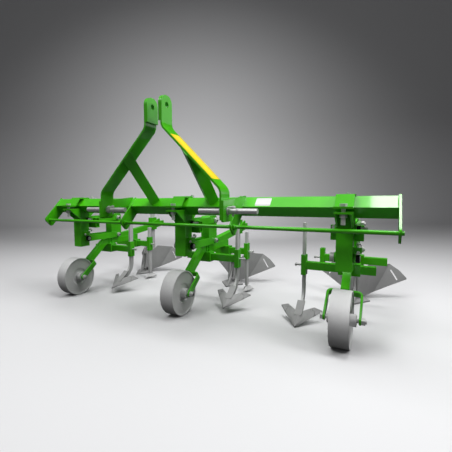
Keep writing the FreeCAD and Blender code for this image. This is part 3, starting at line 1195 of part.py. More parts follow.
def build_unit(unit, x, side, lift):
    finish(f"lower_arm_{unit}", lower_arm(unit), x)
    finish(f"upper_arm_{unit}", upper_arm(unit), x)
    finish(f"row_frame_{unit}", row_frame(unit), x)
    finish(f"tool_bars_{unit}", tool_bars(unit, side), x)
    finish(f"unit_fasteners_{unit}", unit_fasteners(unit, side), x)
    finish(f"wheel_fork_{unit}", wheel_fork(unit), x)
    wheel_body = wheel(unit)
    finish(f"wheel_{unit}", wheel_body, x)
    bind(wheel_body, Placement__Base__y=f"{BEAM_Y} - wheel_ahead", Placement__Base__z="wheel_radius")
    finish(f"hoe_leg_{unit}", front_hoe_leg(unit, side, lift), x)
    finish(f"hoe_sweep_{unit}", feature(f"{unit}_sweep", hoe_sweep(side, number(lift))), x)
    if side > 0:
        finish(f"rear_hoe_{unit}", rear_hoe(unit, side), x)
    finish(f"ridger_leg_{unit}", ridger_leg(unit), x)
    finish(f"ridger_body_{unit}", feature(f"{unit}_ridger", ridger_body()), x)
    finish(f"left_board_{unit}", feature(f"{unit}_left_mouldboard", mouldboard(-1)), x)
    finish(f"right_board_{unit}", feature(f"{unit}_right_mouldboard", mouldboard(1)), x)


add_cell("turned_tip_out", str(-mouldboard(-1).BoundBox.XMin))
doc.recompute()
beam = build_toolbar()
build_hitch()
build_clamps(beam)
for row_unit in UNITS:
    build_unit(*row_unit)
doc.recompute()

faults = [item.Name for item in doc.Objects if "Invalid" in item.State or "Error" in item.State]
faults += [item.Label for item in sub_parts if item.Shape.isNull() or not item.Shape.isValid()]
faults += [item.Label for item in sub_parts if not item.Shape.Solids]
if faults:
    raise RuntimeError("these objects failed: " + ", ".join(faults))

for item in sub_parts:
    item.Shape.exportStep(os.path.join("parts", item.Label + ".step"))
    print(f"{item.Label}: {len(item.Shape.Solids)} solids, {item.Shape.Volume / 1000:.1f} cm3")
print(len(sub_parts), "sub-parts; the mast stands at X", round(number(MAST_X), 3), "and the beam at Y", round(number(BEAM_Y), 3))
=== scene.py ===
"""Looks of a three-row tractor ridger: paint, steel, welds, threads and two bare stickers.

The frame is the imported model's: +X along the toolbar, +Y to the rear, +Z up, in metres. The values above each
group of welds and threads are in millimetres, and place(), unit_place() and MM turn them into metres.
"""
import json
import math

import bmesh
import bpy
from mathutils import Matrix, Vector


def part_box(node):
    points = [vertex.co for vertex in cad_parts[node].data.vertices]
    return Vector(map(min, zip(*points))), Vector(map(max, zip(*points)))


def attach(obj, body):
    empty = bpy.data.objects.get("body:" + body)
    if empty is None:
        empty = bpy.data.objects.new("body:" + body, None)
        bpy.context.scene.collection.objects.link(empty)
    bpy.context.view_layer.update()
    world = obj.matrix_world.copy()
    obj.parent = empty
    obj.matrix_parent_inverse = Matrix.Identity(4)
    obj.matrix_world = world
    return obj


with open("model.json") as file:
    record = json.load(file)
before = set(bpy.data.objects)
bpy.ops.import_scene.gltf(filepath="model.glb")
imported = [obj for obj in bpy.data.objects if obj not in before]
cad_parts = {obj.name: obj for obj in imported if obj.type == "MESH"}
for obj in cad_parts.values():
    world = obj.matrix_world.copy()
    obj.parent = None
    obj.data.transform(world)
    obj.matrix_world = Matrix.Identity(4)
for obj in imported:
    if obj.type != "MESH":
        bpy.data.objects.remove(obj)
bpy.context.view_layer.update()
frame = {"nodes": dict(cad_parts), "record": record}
NODES = frame["nodes"]

MM = 0.001
UNITS = ("left", "middle", "right")
HOE_SIDE = {"left": 1, "middle": 1, "right": -1}
X_AXIS = Vector((1, 0, 0))
Y_AXIS = Vector((0, 1, 0))
Z_AXIS = Vector((0, 0, 1))
UP_BACK = Vector((0, 1, 1)).normalized()
UP_FRONT = Vector((0, -1, 1)).normalized()


# Places read from the frame

def low(node):
    return Vector(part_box(node)[0])


def high(node):
    return Vector(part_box(node)[1])


def middle(node):
    return (low(node) + high(node)) / 2


BEAM = middle("toolbar_beam")
BEAM_HALF_DIAGONAL = (high("toolbar_beam").z - low("toolbar_beam").z) / 2
BEAM_HALF_SIDE = BEAM_HALF_DIAGONAL / math.sqrt(2)
UNIT_X = {unit: middle("row_frame_" + unit).x for unit in UNITS}


def place(x, y, z):
    """A point in millimetres: from the mast's middle, behind the beam's axis, and above the ground."""
    return Vector((BEAM.x + x * MM, BEAM.y + y * MM, z * MM))


def unit_place(unit, x, y, z):
    """A point in millimetres from a row unit's middle, the beam's axis and the ground."""
    return Vector((UNIT_X[unit] + x * MM, BEAM.y + y * MM, z * MM))


def both(value):
    return (-value, value)


# Materials

class Nodes:
    """A short way to add and link the nodes of one material."""

    def __init__(self, name):
        self.material = bpy.data.materials.new(name)
        self.material.use_nodes = True
        self.tree = self.material.node_tree
        self.shader = self.tree.nodes["Principled BSDF"]
        self.coordinates = self.add("ShaderNodeTexCoord").outputs["Object"]

    def add(self, kind, **settings):
        node = self.tree.nodes.new(kind)
        for key, value in settings.items():
            setattr(node, key, value)
        return node

    def link(self, source, target):
        self.tree.links.new(source, target)

    def feed(self, socket, value):
        """Links a socket to another one, or sets its value."""
        if isinstance(value, bpy.types.NodeSocket):
            self.link(value, socket)
        elif isinstance(value, tuple):
            socket.default_value = colour(value)
        else:
            socket.default_value = value

    def noise(self, scale, detail, roughness=0.5, coordinates=None):
        node = self.add("ShaderNodeTexNoise")
        node.inputs["Scale"].default_value = scale
        node.inputs["Detail"].default_value = detail
        node.inputs["Roughness"].default_value = roughness
        self.link(coordinates or self.coordinates, node.inputs["Vector"])
        return node.outputs["Fac"]

    def ramp(self, source, stops):
        node = self.add("ShaderNodeValToRGB")
        for element, (position, value) in zip(node.color_ramp.elements, stops):
            element.position = position
            element.color = colour(value)
        self.link(source, node.inputs["Fac"])
        return node.outputs["Color"]

    def mix(self, factor, one, other):
        node = self.add("ShaderNodeMix", data_type="RGBA", blend_type="MIX")
        for value, index in ((factor, 0), (one, 6), (other, 7)):
            self.feed(node.inputs[index], value)
        return node.outputs[2]

    def math(self, operation, one, other=0.0):
        node = self.add("ShaderNodeMath", operation=operation)
        self.feed(node.inputs[0], one)
        self.feed(node.inputs[1], other)
        return node.outputs[0]

    def stretched(self, scale):
        node = self.add("ShaderNodeMapping")
        node.inputs["Scale"].default_value = scale
        self.link(self.coordinates, node.inputs["Vector"])
        return node.outputs["Vector"]

    def range(self, source, lowest, highest):
        node = self.add("ShaderNodeMapRange")
        node.inputs["To Min"].default_value = lowest
        node.inputs["To Max"].default_value = highest
        self.link(source, node.inputs["Value"])
        return node.outputs["Result"]

    def soft_edges(self, radius):
        """Normals with rounded edges, and how far each point is from being flat."""
        bevel = self.add("ShaderNodeBevel", samples=4)
        bevel.inputs["Radius"].default_value = radius
        flat = self.add("ShaderNodeNewGeometry").outputs["Normal"]
        dot = self.add("ShaderNodeVectorMath", operation="DOT_PRODUCT")
        self.link(bevel.outputs["Normal"], dot.inputs[0])
        self.link(flat, dot.inputs[1])
        return bevel.outputs["Normal"], self.math("SUBTRACT", 1.0, dot.outputs["Value"])

    def bump(self, height, strength, distance, normal=None):
        node = self.add("ShaderNodeBump")
        node.inputs["Strength"].default_value = strength
        node.inputs["Distance"].default_value = distance
        self.link(height, node.inputs["Height"])
        if normal is not None:
            self.link(normal, node.inputs["Normal"])
        return node.outputs["Normal"]

    def surface(self, **values):
        for key, value in values.items():
            self.feed(self.shader.inputs[key.replace("_", " ")], value)


def colour(value):
    """A colour of three parts with its fourth, full cover."""
    return (*value, 1.0)


def grey(shade):
    return (shade, shade, shade)


def paint(name, shades, edge, roughness, coat, edge_radius, peel):
    """Sprayed paint: slow changes of shade, orange peel, and thinner paint along the edges."""
    nodes = Nodes(name)
    slow = nodes.noise(6.0, 4.0, 0.6)
    base = nodes.ramp(slow, [(0.3, shades[0]), (0.7, shades[1])])
    normal, edges = nodes.soft_edges(edge_radius)
    worn = nodes.math("MULTIPLY", edges, nodes.range(nodes.noise(60.0, 3.0), 0.2, 1.6))
    base = nodes.mix(nodes.math("MINIMUM", nodes.math("MULTIPLY", worn, 2.5), 0.6), base, edge)
    fine = nodes.noise(420.0, 2.0)
    nodes.surface(
        Base_Color=base,
        Roughness=nodes.range(nodes.noise(35.0, 5.0, 0.65), roughness - 0.05, roughness + 0.08),
        Specular_IOR_Level=0.25,
        Coat_Weight=coat,
        Coat_Roughness=0.08,
        Normal=nodes.bump(fine, peel, 0.0004, normal),
    )
    return nodes.material


def metal(name, dark, light, roughness, grain, metallic):
    """Bare or plated steel with fine brushed grain and cloudy plating."""
    nodes = Nodes(name)
    cloud = nodes.noise(90.0, 5.0, 0.6)
    streaks = nodes.noise(300.0, 3.0, 0.5, nodes.stretched(grain))
    mottle = nodes.math("ADD", nodes.math("MULTIPLY", cloud, 0.6), nodes.math("MULTIPLY", streaks, 0.4))
    normal = nodes.soft_edges(0.0006)[0]
    nodes.surface(
        Base_Color=nodes.ramp(mottle, [(0.35, dark), (0.65, light)]),
        Metallic=metallic,
        Roughness=nodes.range(streaks, roughness - 0.08, roughness + 0.12),
        Normal=nodes.bump(streaks, 0.12, 0.0002, normal),
    )
    return nodes.material


def sticker(name, shades, line_shade, across, centre, half_width):
    """Bare film: a plain colour with one plain line along each long edge."""
    nodes = Nodes(name)
    distance = nodes.add("ShaderNodeVectorMath", operation="DOT_PRODUCT")
    nodes.link(nodes.coordinates, distance.inputs[0])
    distance.inputs[1].default_value = across
    offset = nodes.math("ABSOLUTE", nodes.math("SUBTRACT", distance.outputs["Value"], centre.dot(across)))
    line = nodes.math("MULTIPLY", nodes.math("GREATER_THAN", offset, half_width * 0.72),
                      nodes.math("LESS_THAN", offset, half_width * 0.86))
    fade = nodes.ramp(nodes.noise(25.0, 3.0), [(0.3, shades[0]), (0.7, shades[1])])
    nodes.surface(
        Base_Color=nodes.mix(line, fade, line_shade),
        Roughness=nodes.range(nodes.noise(80.0, 3.0), 0.28, 0.4),
        Normal=nodes.bump(nodes.noise(200.0, 2.0), 0.05, 0.0002),
    )
    return nodes.material


GREEN = paint("green_paint", ((0.055, 0.45, 0.004), (0.075, 0.53, 0.008)), (0.20, 0.66, 0.10),
              roughness=0.32, coat=0.60, edge_radius=0.0015, peel=0.10)
GREY = paint("grey_paint", (grey(0.28), grey(0.35)), grey(0.55),
             roughness=0.48, coat=0.0, edge_radius=0.0010, peel=0.25)
# Legs: a paler, lit copy of the grey paint. Its painted light stands in for the light on their front faces.
PAINTED_LIT_LEG_GREY = paint("painted_lit_leg_grey", (grey(0.52), grey(0.62)), grey(0.70),
                 roughness=0.45, coat=0.0, edge_radius=0.0010, peel=0.20)
WHEEL = paint("wheel_grey", (grey(0.64), grey(0.78)), grey(0.85),
              roughness=0.50, coat=0.0, edge_radius=0.0030, peel=0.30)
ZINC = metal("zinc_plate", grey(0.56), grey(0.76), roughness=0.42, grain=(1.0, 1.0, 6.0), metallic=0.5)
BLACK = metal("black_steel", (0.010, 0.010, 0.011), (0.05, 0.05, 0.052),
              roughness=0.42, grain=(1.0, 1.0, 4.0), metallic=1.0)

SLOT_MATERIALS = {
    "green_paint": GREEN,
    "grey_paint": GREY,
    "wheel_grey": WHEEL,
    "zinc": ZINC,
    "black_steel": BLACK,
}
LEGS = ("hoe_leg", "rear_hoe", "ridger_leg")


def dress_nodes():
    """Gives every CAD node the material of its slot, and the legs a paler, lit copy of the grey paint with
    painted light in it.
    """
    for part in frame["record"]["subparts"]:
        node = NODES[part["node"]]
        material = PAINTED_LIT_LEG_GREY if part["node"].startswith(LEGS) else SLOT_MATERIALS[part["material_slot"]]
        node.data.materials.clear()
        node.data.materials.append(material)


# Meshes of the added pieces

def new_piece(name, bm, material, body, smooth=True):
    """Puts a finished mesh in the scene, where it moves with a body."""
    mesh = bpy.data.meshes.new(name)
    bm.to_mesh(mesh)
    bm.free()
    for face in mesh.polygons:
        face.use_smooth = smooth
    piece = bpy.data.objects.new(name, mesh)
    bpy.context.scene.collection.objects.link(piece)
    mesh.materials.append(material)
    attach(piece, body)


def frame_along(direction):
    """Two unit vectors square to a direction."""
    helper = X_AXIS if abs(direction.x) < 0.9 else Y_AXIS
    one = direction.cross(helper).normalized()
    return one, direction.cross(one).normalized()


def add_rings(bm, rings):
    """Skins a row of rings of equal count, with a cap at each end."""
    made = [[bm.verts.new(point) for point in ring] for ring in rings]
    count = len(made[0])
    for here, there in zip(made, made[1:]):
        for index in range(count):
            following = (index + 1) % count
            bm.faces.new((here[index], here[following], there[following], there[index]))
    bm.faces.new(list(reversed(made[0])))
    bm.faces.new(made[-1])


BEAD_STEP = 1.4 * MM
BEAD_SIDES = 8
BEAD_RIPPLE = 3.4 * MM
BEAD_RIPPLE_SHARE = 0.16
BEAD_END_SHARE = 0.45
BEAD_TAPER = 4


def add_bead(bm, start, end, radius):
    """One straight run of weld with even ripples, thinner towards its ends."""
    run = end - start
    steps = max(3, round(run.length / BEAD_STEP))
    one, other = frame_along(run.normalized())
    rings = []
    for step in range(steps + 1):
        share = step / steps
        ripple = 1 - BEAD_RIPPLE_SHARE * abs(math.sin(math.pi * run.length * share / BEAD_RIPPLE))
        taper = min(1.0, BEAD_END_SHARE + BEAD_TAPER * min(share, 1 - share))
        size = radius * ripple * taper
        centre = start + run * share
        rings.append([centre + (one * math.cos(turn) + other * math.sin(turn)) * size
                      for turn in (2 * math.pi * side / BEAD_SIDES for side in range(BEAD_SIDES))])
    add_rings(bm, rings)


def weld(name, body, runs, radius, material=GREEN):
    """One piece of all the weld runs of a body, painted over with it."""
    bm = bmesh.new()
    for start, end in runs:
        add_bead(bm, start, end, radius * MM)
    new_piece(name, bm, material, body)


THREAD_SIDES = 20
THREAD_ROWS = 4
THREAD_DEPTH_SHARE = 0.055
THREAD_PITCH_SHARE = 0.24
THREAD_SUNK_SHARE = 0.25


def add_thread(bm, start, direction, radius, length, pitch):
    """A screw thread over a plain shank, from a start point along a direction."""
    one, other = frame_along(direction)
    rows = max(2, round(length / pitch * THREAD_ROWS))
    depth = radius * THREAD_DEPTH_SHARE
    rings = []
    for row in range(rows + 1):
        along = length * row / rows
        ring = []
        for side in range(THREAD_SIDES):
            share = side / THREAD_SIDES
            phase = (along / pitch - share) % 1.0
            crest = radius + depth * (abs(2 * phase - 1) - THREAD_SUNK_SHARE)
            if row == rows:
                crest = radius - 2 * depth
            turn = 2 * math.pi * share
            ring.append(start + direction * along + (one * math.cos(turn) + other * math.sin(turn)) * crest)
        rings.append(ring)
    add_rings(bm, rings)


def thread(name, body, runs):
    """One piece of all the threads of a body, each from its start along its direction."""
    bm = bmesh.new()
    for start, direction, radius, length in runs:
        add_thread(bm, start, direction, radius * MM, length * MM, radius * THREAD_PITCH_SHARE * MM)
    new_piece(name, bm, ZINC, body)


def square_run(centre, one, other, half_one, half_other):
    """Four runs round a rectangle about a centre."""
    corners = [centre + one * side_a * half_one + other * side_b * half_other
               for side_a, side_b in ((1, 1), (-1, 1), (-1, -1), (1, -1))]
    return list(zip(corners, corners[1:] + corners[:1]))


def upright_run(unit, x, y, heights):
    """One run straight up, between two heights."""
    return tuple(unit_place(unit, x, y, z) for z in heights)


def lengthways_run(unit, x, backs, z):
    """One level run from front to rear, between two places behind the beam."""
    return tuple(unit_place(unit, x, y, z) for y in backs)


def level_run(unit, half, y, z):
    """One level run across, the same length to the left and right of the row's middle."""
    return tuple(unit_place(unit, x, y, z) for x in both(half))


# Welds of the toolbar

TOOLBAR_BEAD = 2.6
COLUMN_BEAD = 2.2
BEAM_HEIGHT = 541
END_PLATE_PLACE = 924
HITCH_PLATE_PLACE = 306
MAST_FOOT_PLACE = 327.5
MAST_FOOT_FRONT = (-241, 571)
MAST_FOOT_REAR = (-165, 576)
BRACE_PLACE = 171
BRACE_HALF_SIDE = 25
BRACE_AHEAD = 12
BRACE_END_INSET = 2.5

# On the mast's slanted inner face, the distance from the middle and the height add up to this.
MAST_SLANT_SUM = 931.3

COLUMN_HALF_WIDE = 30
COLUMN_HALF_DEEP = 33
COLUMN_TOP = 517
COLUMN_WELD_LOW = 462
COLUMN_TOP_WELD_HALF = 22
STOP_BLOCK_EDGES = (362, 384)
STOP_BLOCK_BACKS = (-12, 14)


def brace_corners(x):
    """The three front corners of a brace's tube, on the beam and on the mast's slanted inner face."""
    ridge = high("toolbar_beam").z / MM - BRACE_AHEAD
    foot = []
    end = []
    for across, up in ((-1, 0), (0, -1), (1, 0)):
        corner_x = x + across * BRACE_HALF_SIDE * math.sqrt(2)
        corner_y = up * BRACE_HALF_SIDE - BRACE_AHEAD
        corner_z = ridge + up * BRACE_HALF_SIDE
        climb = MAST_SLANT_SUM - BRACE_END_INSET - abs(corner_x) - corner_z
        foot.append(place(corner_x, corner_y, corner_z))
        end.append(place(corner_x, corner_y - climb, corner_z + climb))
    return foot, end


def toolbar_welds():
    """Beads round the beam at its plates, along the mast's feet and round the braces' front corners."""
    runs = []
    for x in (*both(END_PLATE_PLACE), *both(HITCH_PLATE_PLACE)):
        runs += square_run(place(x, 0, BEAM_HEIGHT), UP_BACK, UP_FRONT, BEAM_HALF_SIDE, BEAM_HALF_SIDE)
    for x in both(MAST_FOOT_PLACE):
        runs.append((place(x, *MAST_FOOT_FRONT), place(x, *MAST_FOOT_REAR)))
    for x in both(BRACE_PLACE):
        foot, end = brace_corners(x)
        runs += list(zip(foot, foot[1:])) + list(zip(end, end[1:]))
    weld("toolbar_welds", "toolbar", runs, TOOLBAR_BEAD)


def column_runs(unit):
    """Beads at the top plate of a column, down its corners and along its stop block's edges."""
    runs = []
    deep = COLUMN_HALF_DEEP
    for x in both(COLUMN_HALF_WIDE):
        runs.append(lengthways_run(unit, x, both(deep), COLUMN_TOP))
        for y in both(deep):
            runs.append(upright_run(unit, x, y, (COLUMN_TOP - 1, COLUMN_WELD_LOW)))
    for y in both(deep):
        runs.append(level_run(unit, COLUMN_TOP_WELD_HALF, y, COLUMN_TOP))
    for z in STOP_BLOCK_EDGES:
        runs.append(lengthways_run(unit, COLUMN_HALF_WIDE, STOP_BLOCK_BACKS, z))
    return runs


def column_welds():
    runs = []
    for unit in UNITS:
        runs += column_runs(unit)
    weld("column_welds", "toolbar", runs, COLUMN_BEAD)


# Welds of the row units

ROW_BEAD = 2.4
AXLE_BACK = -53
AXLE_HEIGHT = 111
BAR_HEIGHT = 252
FRONT_BAR_BACK = 230
REAR_BAR_BACK = 487
FRONT_SLEEVE_OUT = 188
REAR_SLEEVE_OUT = 143
SLEEVE_WELD_HALF = 18
FORK_TILT = math.radians(37.5)
FORK_ARM = 130
FORK_WELD_HALF_WIDE = 16
FORK_WELD_HALF_DEEP = 15
POST_HALF_WIDE = 20
POST_FRONT = 234
POST_REAR = 330
POST_WELD = (281, 314)
POST_FRONT_HALF = 19
POST_FRONT_TOP = 315
POST_REAR_HALF = 17
BAR_SADDLE_HEIGHT = 279
BAR_SADDLE_HALF = 26
SPINE_HALF_WIDE = 18
SPINE_WELD_LOW = 300
SPINE_TOP = 338
BRACKET_REAR = (514, 319)
BRACKET_FRONT = (420, 315)
SOCKET_FRONT = 699
SOCKET_REAR = 761
SOCKET_WELD_LOW = 342
SOCKET_WELD_HIGH = 378
SOCKET_RISE = 0.115
SOCKET_GUSSET_OUT = 1.02
SOCKET_GUSSET_FRONT = (676, 347)
SOCKET_GUSSET_REAR = (698, 352)


def row_frame_runs(unit):
    """Beads at the foot of the post, at the bars' saddles, along the spine and round the leg socket."""
    runs = []
    for x in both(POST_HALF_WIDE):
        for y in (POST_FRONT, POST_REAR):
            runs.append(upright_run(unit, x, y, POST_WELD))
        for y in (FRONT_BAR_BACK, REAR_BAR_BACK):
            saddle = (y - BAR_SADDLE_HALF, y + BAR_SADDLE_HALF)
            runs.append(lengthways_run(unit, x, saddle, BAR_SADDLE_HEIGHT))
    runs.append(level_run(unit, POST_FRONT_HALF, POST_FRONT, POST_FRONT_TOP))
    runs.append(level_run(unit, POST_REAR_HALF, POST_REAR, SPINE_TOP))
    for x in both(SPINE_HALF_WIDE):
        runs.append(upright_run(unit, x, POST_REAR, (SPINE_WELD_LOW, SPINE_TOP - 1)))
        runs.append((unit_place(unit, x, *BRACKET_REAR), unit_place(unit, x, *BRACKET_FRONT)))
    for y in (SOCKET_FRONT, SOCKET_REAR):
        rise = (y - SOCKET_FRONT) * SOCKET_RISE
        for x in both(SPINE_HALF_WIDE):
            runs.append(upright_run(unit, x, y, (SOCKET_WELD_LOW + rise, SOCKET_WELD_HIGH + rise)))
    for x in both(SPINE_HALF_WIDE * SOCKET_GUSSET_OUT):
        runs.append((unit_place(unit, x, *SOCKET_GUSSET_FRONT), unit_place(unit, x, *SOCKET_GUSSET_REAR)))
    return runs


def row_welds(unit):
    """Beads of a row frame, of its leg sleeves on their bars and of its wheel fork."""
    weld("frame_welds_" + unit, "row_" + unit, row_frame_runs(unit), ROW_BEAD)
    runs = []
    half = SLEEVE_WELD_HALF * MM
    for back, out in ((FRONT_BAR_BACK, FRONT_SLEEVE_OUT), (REAR_BAR_BACK, REAR_SLEEVE_OUT)):
        centre = unit_place(unit, HOE_SIDE[unit] * out, back, BAR_HEIGHT)
        runs += square_run(centre, Y_AXIS, Z_AXIS, half, half)
    weld("sleeve_welds_" + unit, "row_" + unit, runs, ROW_BEAD)
    reach = FORK_ARM * math.cos(FORK_TILT)
    rise = FORK_ARM * math.sin(FORK_TILT)
    foot = unit_place(unit, 0, AXLE_BACK + reach, AXLE_HEIGHT + rise)
    down = Vector((0, math.sin(FORK_TILT), -math.cos(FORK_TILT)))
    runs = square_run(foot, X_AXIS, down, FORK_WELD_HALF_WIDE * MM, FORK_WELD_HALF_DEEP * MM)
    weld("fork_welds_" + unit, "row_" + unit, runs, ROW_BEAD)


ARM_BEAD = 2.0
ARM_WELD_OUT = 30.6
ARM_WEB_PLACES = (168, 176)
LOWER_PIVOT_HEIGHT = 338
UPPER_PIVOT_HEIGHT = 455
LOWER_WEB = (321, 355)
UPPER_WEB = (440, 470)
LOWER_LUG_BACK = 43.5
LOWER_LUG = (345, 356)
UPPER_LUG_OUT = 39.5
UPPER_LUG_PLACES = (60, 92)
UPPER_LUG = (440, 463)
UPPER_LUG_FOOT = (62, 90)
UPPER_LUG_FOOT_HEIGHT = 437.5


def arm_welds(unit):
    """Beads at the webs and lugs of the lower and the upper linkage arm."""
    runs = []
    for x in both(ARM_WELD_OUT):
        for y in ARM_WEB_PLACES:
            runs.append(upright_run(unit, x, y, LOWER_WEB))
        runs.append(upright_run(unit, x, LOWER_LUG_BACK, LOWER_LUG))
    weld("lower_arm_welds_" + unit, "lower_arm_" + unit, runs, ARM_BEAD)
    runs = []
    for x in both(ARM_WELD_OUT):
        for y in ARM_WEB_PLACES:
            runs.append(upright_run(unit, x, y, UPPER_WEB))
    for x in both(UPPER_LUG_OUT):
        for y in UPPER_LUG_PLACES:
            runs.append(upright_run(unit, x, y, UPPER_LUG))
        runs.append(lengthways_run(unit, x, UPPER_LUG_FOOT, UPPER_LUG_FOOT_HEIGHT))
    weld("upper_arm_welds_" + unit, "upper_arm_" + unit, runs, ARM_BEAD)


SHARE_BEAD = 1.8
SHARE_WELD_OUT = 6.5
SHARE_WELD_FRONT = (545, 14)
SHARE_WELD_REAR = (623, 17)
LEG_WELD_OUT = 12.3
LEG_WELD_BACK = 676
LEG_WELD = (66, 162)


def ridger_welds(unit):
    """Beads along the share and down the ridger's leg."""
    runs = []
    for x in both(SHARE_WELD_OUT):
        runs.append((unit_place(unit, x, *SHARE_WELD_FRONT), unit_place(unit, x, *SHARE_WELD_REAR)))
    for x in both(LEG_WELD_OUT):
        runs.append(upright_run(unit, x, LEG_WELD_BACK, LEG_WELD))
    weld("ridger_welds_" + unit, "ridger_" + unit, runs, SHARE_BEAD, GREY)


# Threads

CLAMP_BOLT_BACK = 92
CLAMP_BOLT_FRONT_TOP = 503
CLAMP_BOLT_REAR_TOP = 559.5
PIVOT_END_OUT = 53
FRONT_PIVOT_BACK = 12
REAR_PIVOT_BACK = 282
AXLE_END_OUT = 81.3
FRONT_SCREW_OUT = 211.6
REAR_SCREW_OUT = 166.6
LEG_SCREW_BACK = 761
LEG_SCREW_HEIGHT = 400
BOLT_RADIUS = 8
LOWER_PIVOT_RADIUS = 10
SET_SCREW_RADIUS = 5
FRONT_CLAMP_THREAD = 26
REAR_CLAMP_THREAD = 39
UPPER_PIVOT_THREAD = 25
LOWER_PIVOT_THREAD = 2
ROW_BOLT_THREAD = 5
HOE_SCREW_THREAD = 24.5
LEG_SCREW_THREAD = 19


def toolbar_threads():
    """Threads of the middle clamp bolts and of the pivot pins at the columns."""
    runs = []
    for unit in UNITS:
        front = unit_place(unit, 0, -CLAMP_BOLT_BACK, CLAMP_BOLT_FRONT_TOP)
        rear = unit_place(unit, 0, CLAMP_BOLT_BACK, CLAMP_BOLT_REAR_TOP)
        upper = unit_place(unit, PIVOT_END_OUT, FRONT_PIVOT_BACK, UPPER_PIVOT_HEIGHT)
        lower = unit_place(unit, PIVOT_END_OUT, FRONT_PIVOT_BACK, LOWER_PIVOT_HEIGHT)
        runs.append((front, -Z_AXIS, BOLT_RADIUS, FRONT_CLAMP_THREAD))
        runs.append((rear, Z_AXIS, BOLT_RADIUS, REAR_CLAMP_THREAD))
        runs.append((upper, X_AXIS, BOLT_RADIUS, UPPER_PIVOT_THREAD))
        runs.append((lower, X_AXIS, LOWER_PIVOT_RADIUS, LOWER_PIVOT_THREAD))
    thread("clamp_threads", "toolbar", runs)


def row_threads(unit):
    """Threads of a row's rear pivot bolts, its axle bolt and its set screws."""
    side = HOE_SIDE[unit]
    runs = []
    for z in (LOWER_PIVOT_HEIGHT, UPPER_PIVOT_HEIGHT):
        start = unit_place(unit, PIVOT_END_OUT, REAR_PIVOT_BACK, z)
        runs.append((start, X_AXIS, BOLT_RADIUS, ROW_BOLT_THREAD))
    start = unit_place(unit, AXLE_END_OUT, AXLE_BACK, AXLE_HEIGHT)
    runs.append((start, X_AXIS, BOLT_RADIUS, ROW_BOLT_THREAD))
    for back, out in ((FRONT_BAR_BACK, FRONT_SCREW_OUT), (REAR_BAR_BACK, REAR_SCREW_OUT)):
        start = unit_place(unit, side * out, back, BAR_HEIGHT)
        runs.append((start, X_AXIS * side, SET_SCREW_RADIUS, HOE_SCREW_THREAD))
    start = unit_place(unit, 0, LEG_SCREW_BACK, LEG_SCREW_HEIGHT)
    runs.append((start, Y_AXIS, SET_SCREW_RADIUS, LEG_SCREW_THREAD))
    thread("set_screw_threads_" + unit, "row_" + unit, runs)


# Stickers

STICKER_LIFT = 0.3 * MM
STICKER_ROUND = 4 * MM
STICKER_CORNER_STEPS = 5
DIAGONAL_START = place(48, -203, 895.5)
DIAGONAL_FROM = 56 * MM
DIAGONAL_LONG = 280 * MM
DIAGONAL_WIDE = 70 * MM
LABEL_PLACE = 424 * MM
LABEL_LONG = 68 * MM
LABEL_WIDE = 46 * MM


def add_sticker(name, centre, along, across, normal, length, width, material):
    """A thin film with round corners, laid on a flat face."""
    bm = bmesh.new()
    outline = []
    for corner, (side_a, side_b) in enumerate(((1, 1), (-1, 1), (-1, -1), (1, -1))):
        hub = along * side_a * (length / 2 - STICKER_ROUND) + across * side_b * (width / 2 - STICKER_ROUND)
        for step in range(STICKER_CORNER_STEPS + 1):
            turn = math.pi / 2 * (corner + step / STICKER_CORNER_STEPS)
            outline.append(centre + hub + (along * math.cos(turn) + across * math.sin(turn)) * STICKER_ROUND)
    add_rings(bm, [[point + normal * lift for point in outline] for lift in both(STICKER_LIFT)])
    new_piece(name, bm, material, "toolbar", smooth=False)


def mast_sticker():
    down_out = Vector((1, 0, -1)).normalized()
    out_up = Vector((1, 0, 1)).normalized()
    centre = DIAGONAL_START + down_out * (DIAGONAL_FROM + DIAGONAL_LONG / 2)
    shades = ((0.93, 0.66, 0.02), (0.98, 0.74, 0.03))
    yellow = sticker("yellow_film", shades, (0.62, 0.30, 0.01), Y_AXIS, centre, DIAGONAL_WIDE / 2)
    add_sticker("mast_sticker", centre, down_out, Y_AXIS, out_up, DIAGONAL_LONG, DIAGONAL_WIDE, yellow)


def beam_sticker():
    centre = BEAM + UP_FRONT * BEAM_HALF_SIDE + X_AXIS * LABEL_PLACE
    shades = (grey(0.68), (0.74, 0.74, 0.73))
    white = sticker("white_film", shades, grey(0.45), UP_BACK, centre, LABEL_WIDE / 2)
    add_sticker("beam_sticker", centre, X_AXIS, UP_BACK, UP_FRONT, LABEL_LONG, LABEL_WIDE, white)


# Stage

FLOOR_FRONT = 14.0
FLOOR_HALF_WIDE = 40.0
CURVE_START = 5.0
CURVE_RADIUS = 3.0
CURVE_STEPS = 16
WALL_TOP = 9.0
MIRRORED_FLOOR_SHARE = 0.07
CAMERA_YAW = math.radians(30.463)


def plain_material(name, seen_shade, lit_shade):
    """A matt surface that is paler to the camera than it is to the light it throws back."""
    nodes = Nodes(name)
    path = nodes.add("ShaderNodeLightPath")
    seen = nodes.math("MAXIMUM", path.outputs["Is Camera Ray"], path.outputs["Is Transmission Ray"])
    mirrored = nodes.math("MULTIPLY", path.outputs["Is Glossy Ray"], MIRRORED_FLOOR_SHARE)
    seen = nodes.math("MAXIMUM", seen, mirrored)
    nodes.surface(Base_Color=nodes.mix(seen, lit_shade, seen_shade), Roughness=0.9, Specular_IOR_Level=0.0)
    return nodes.material


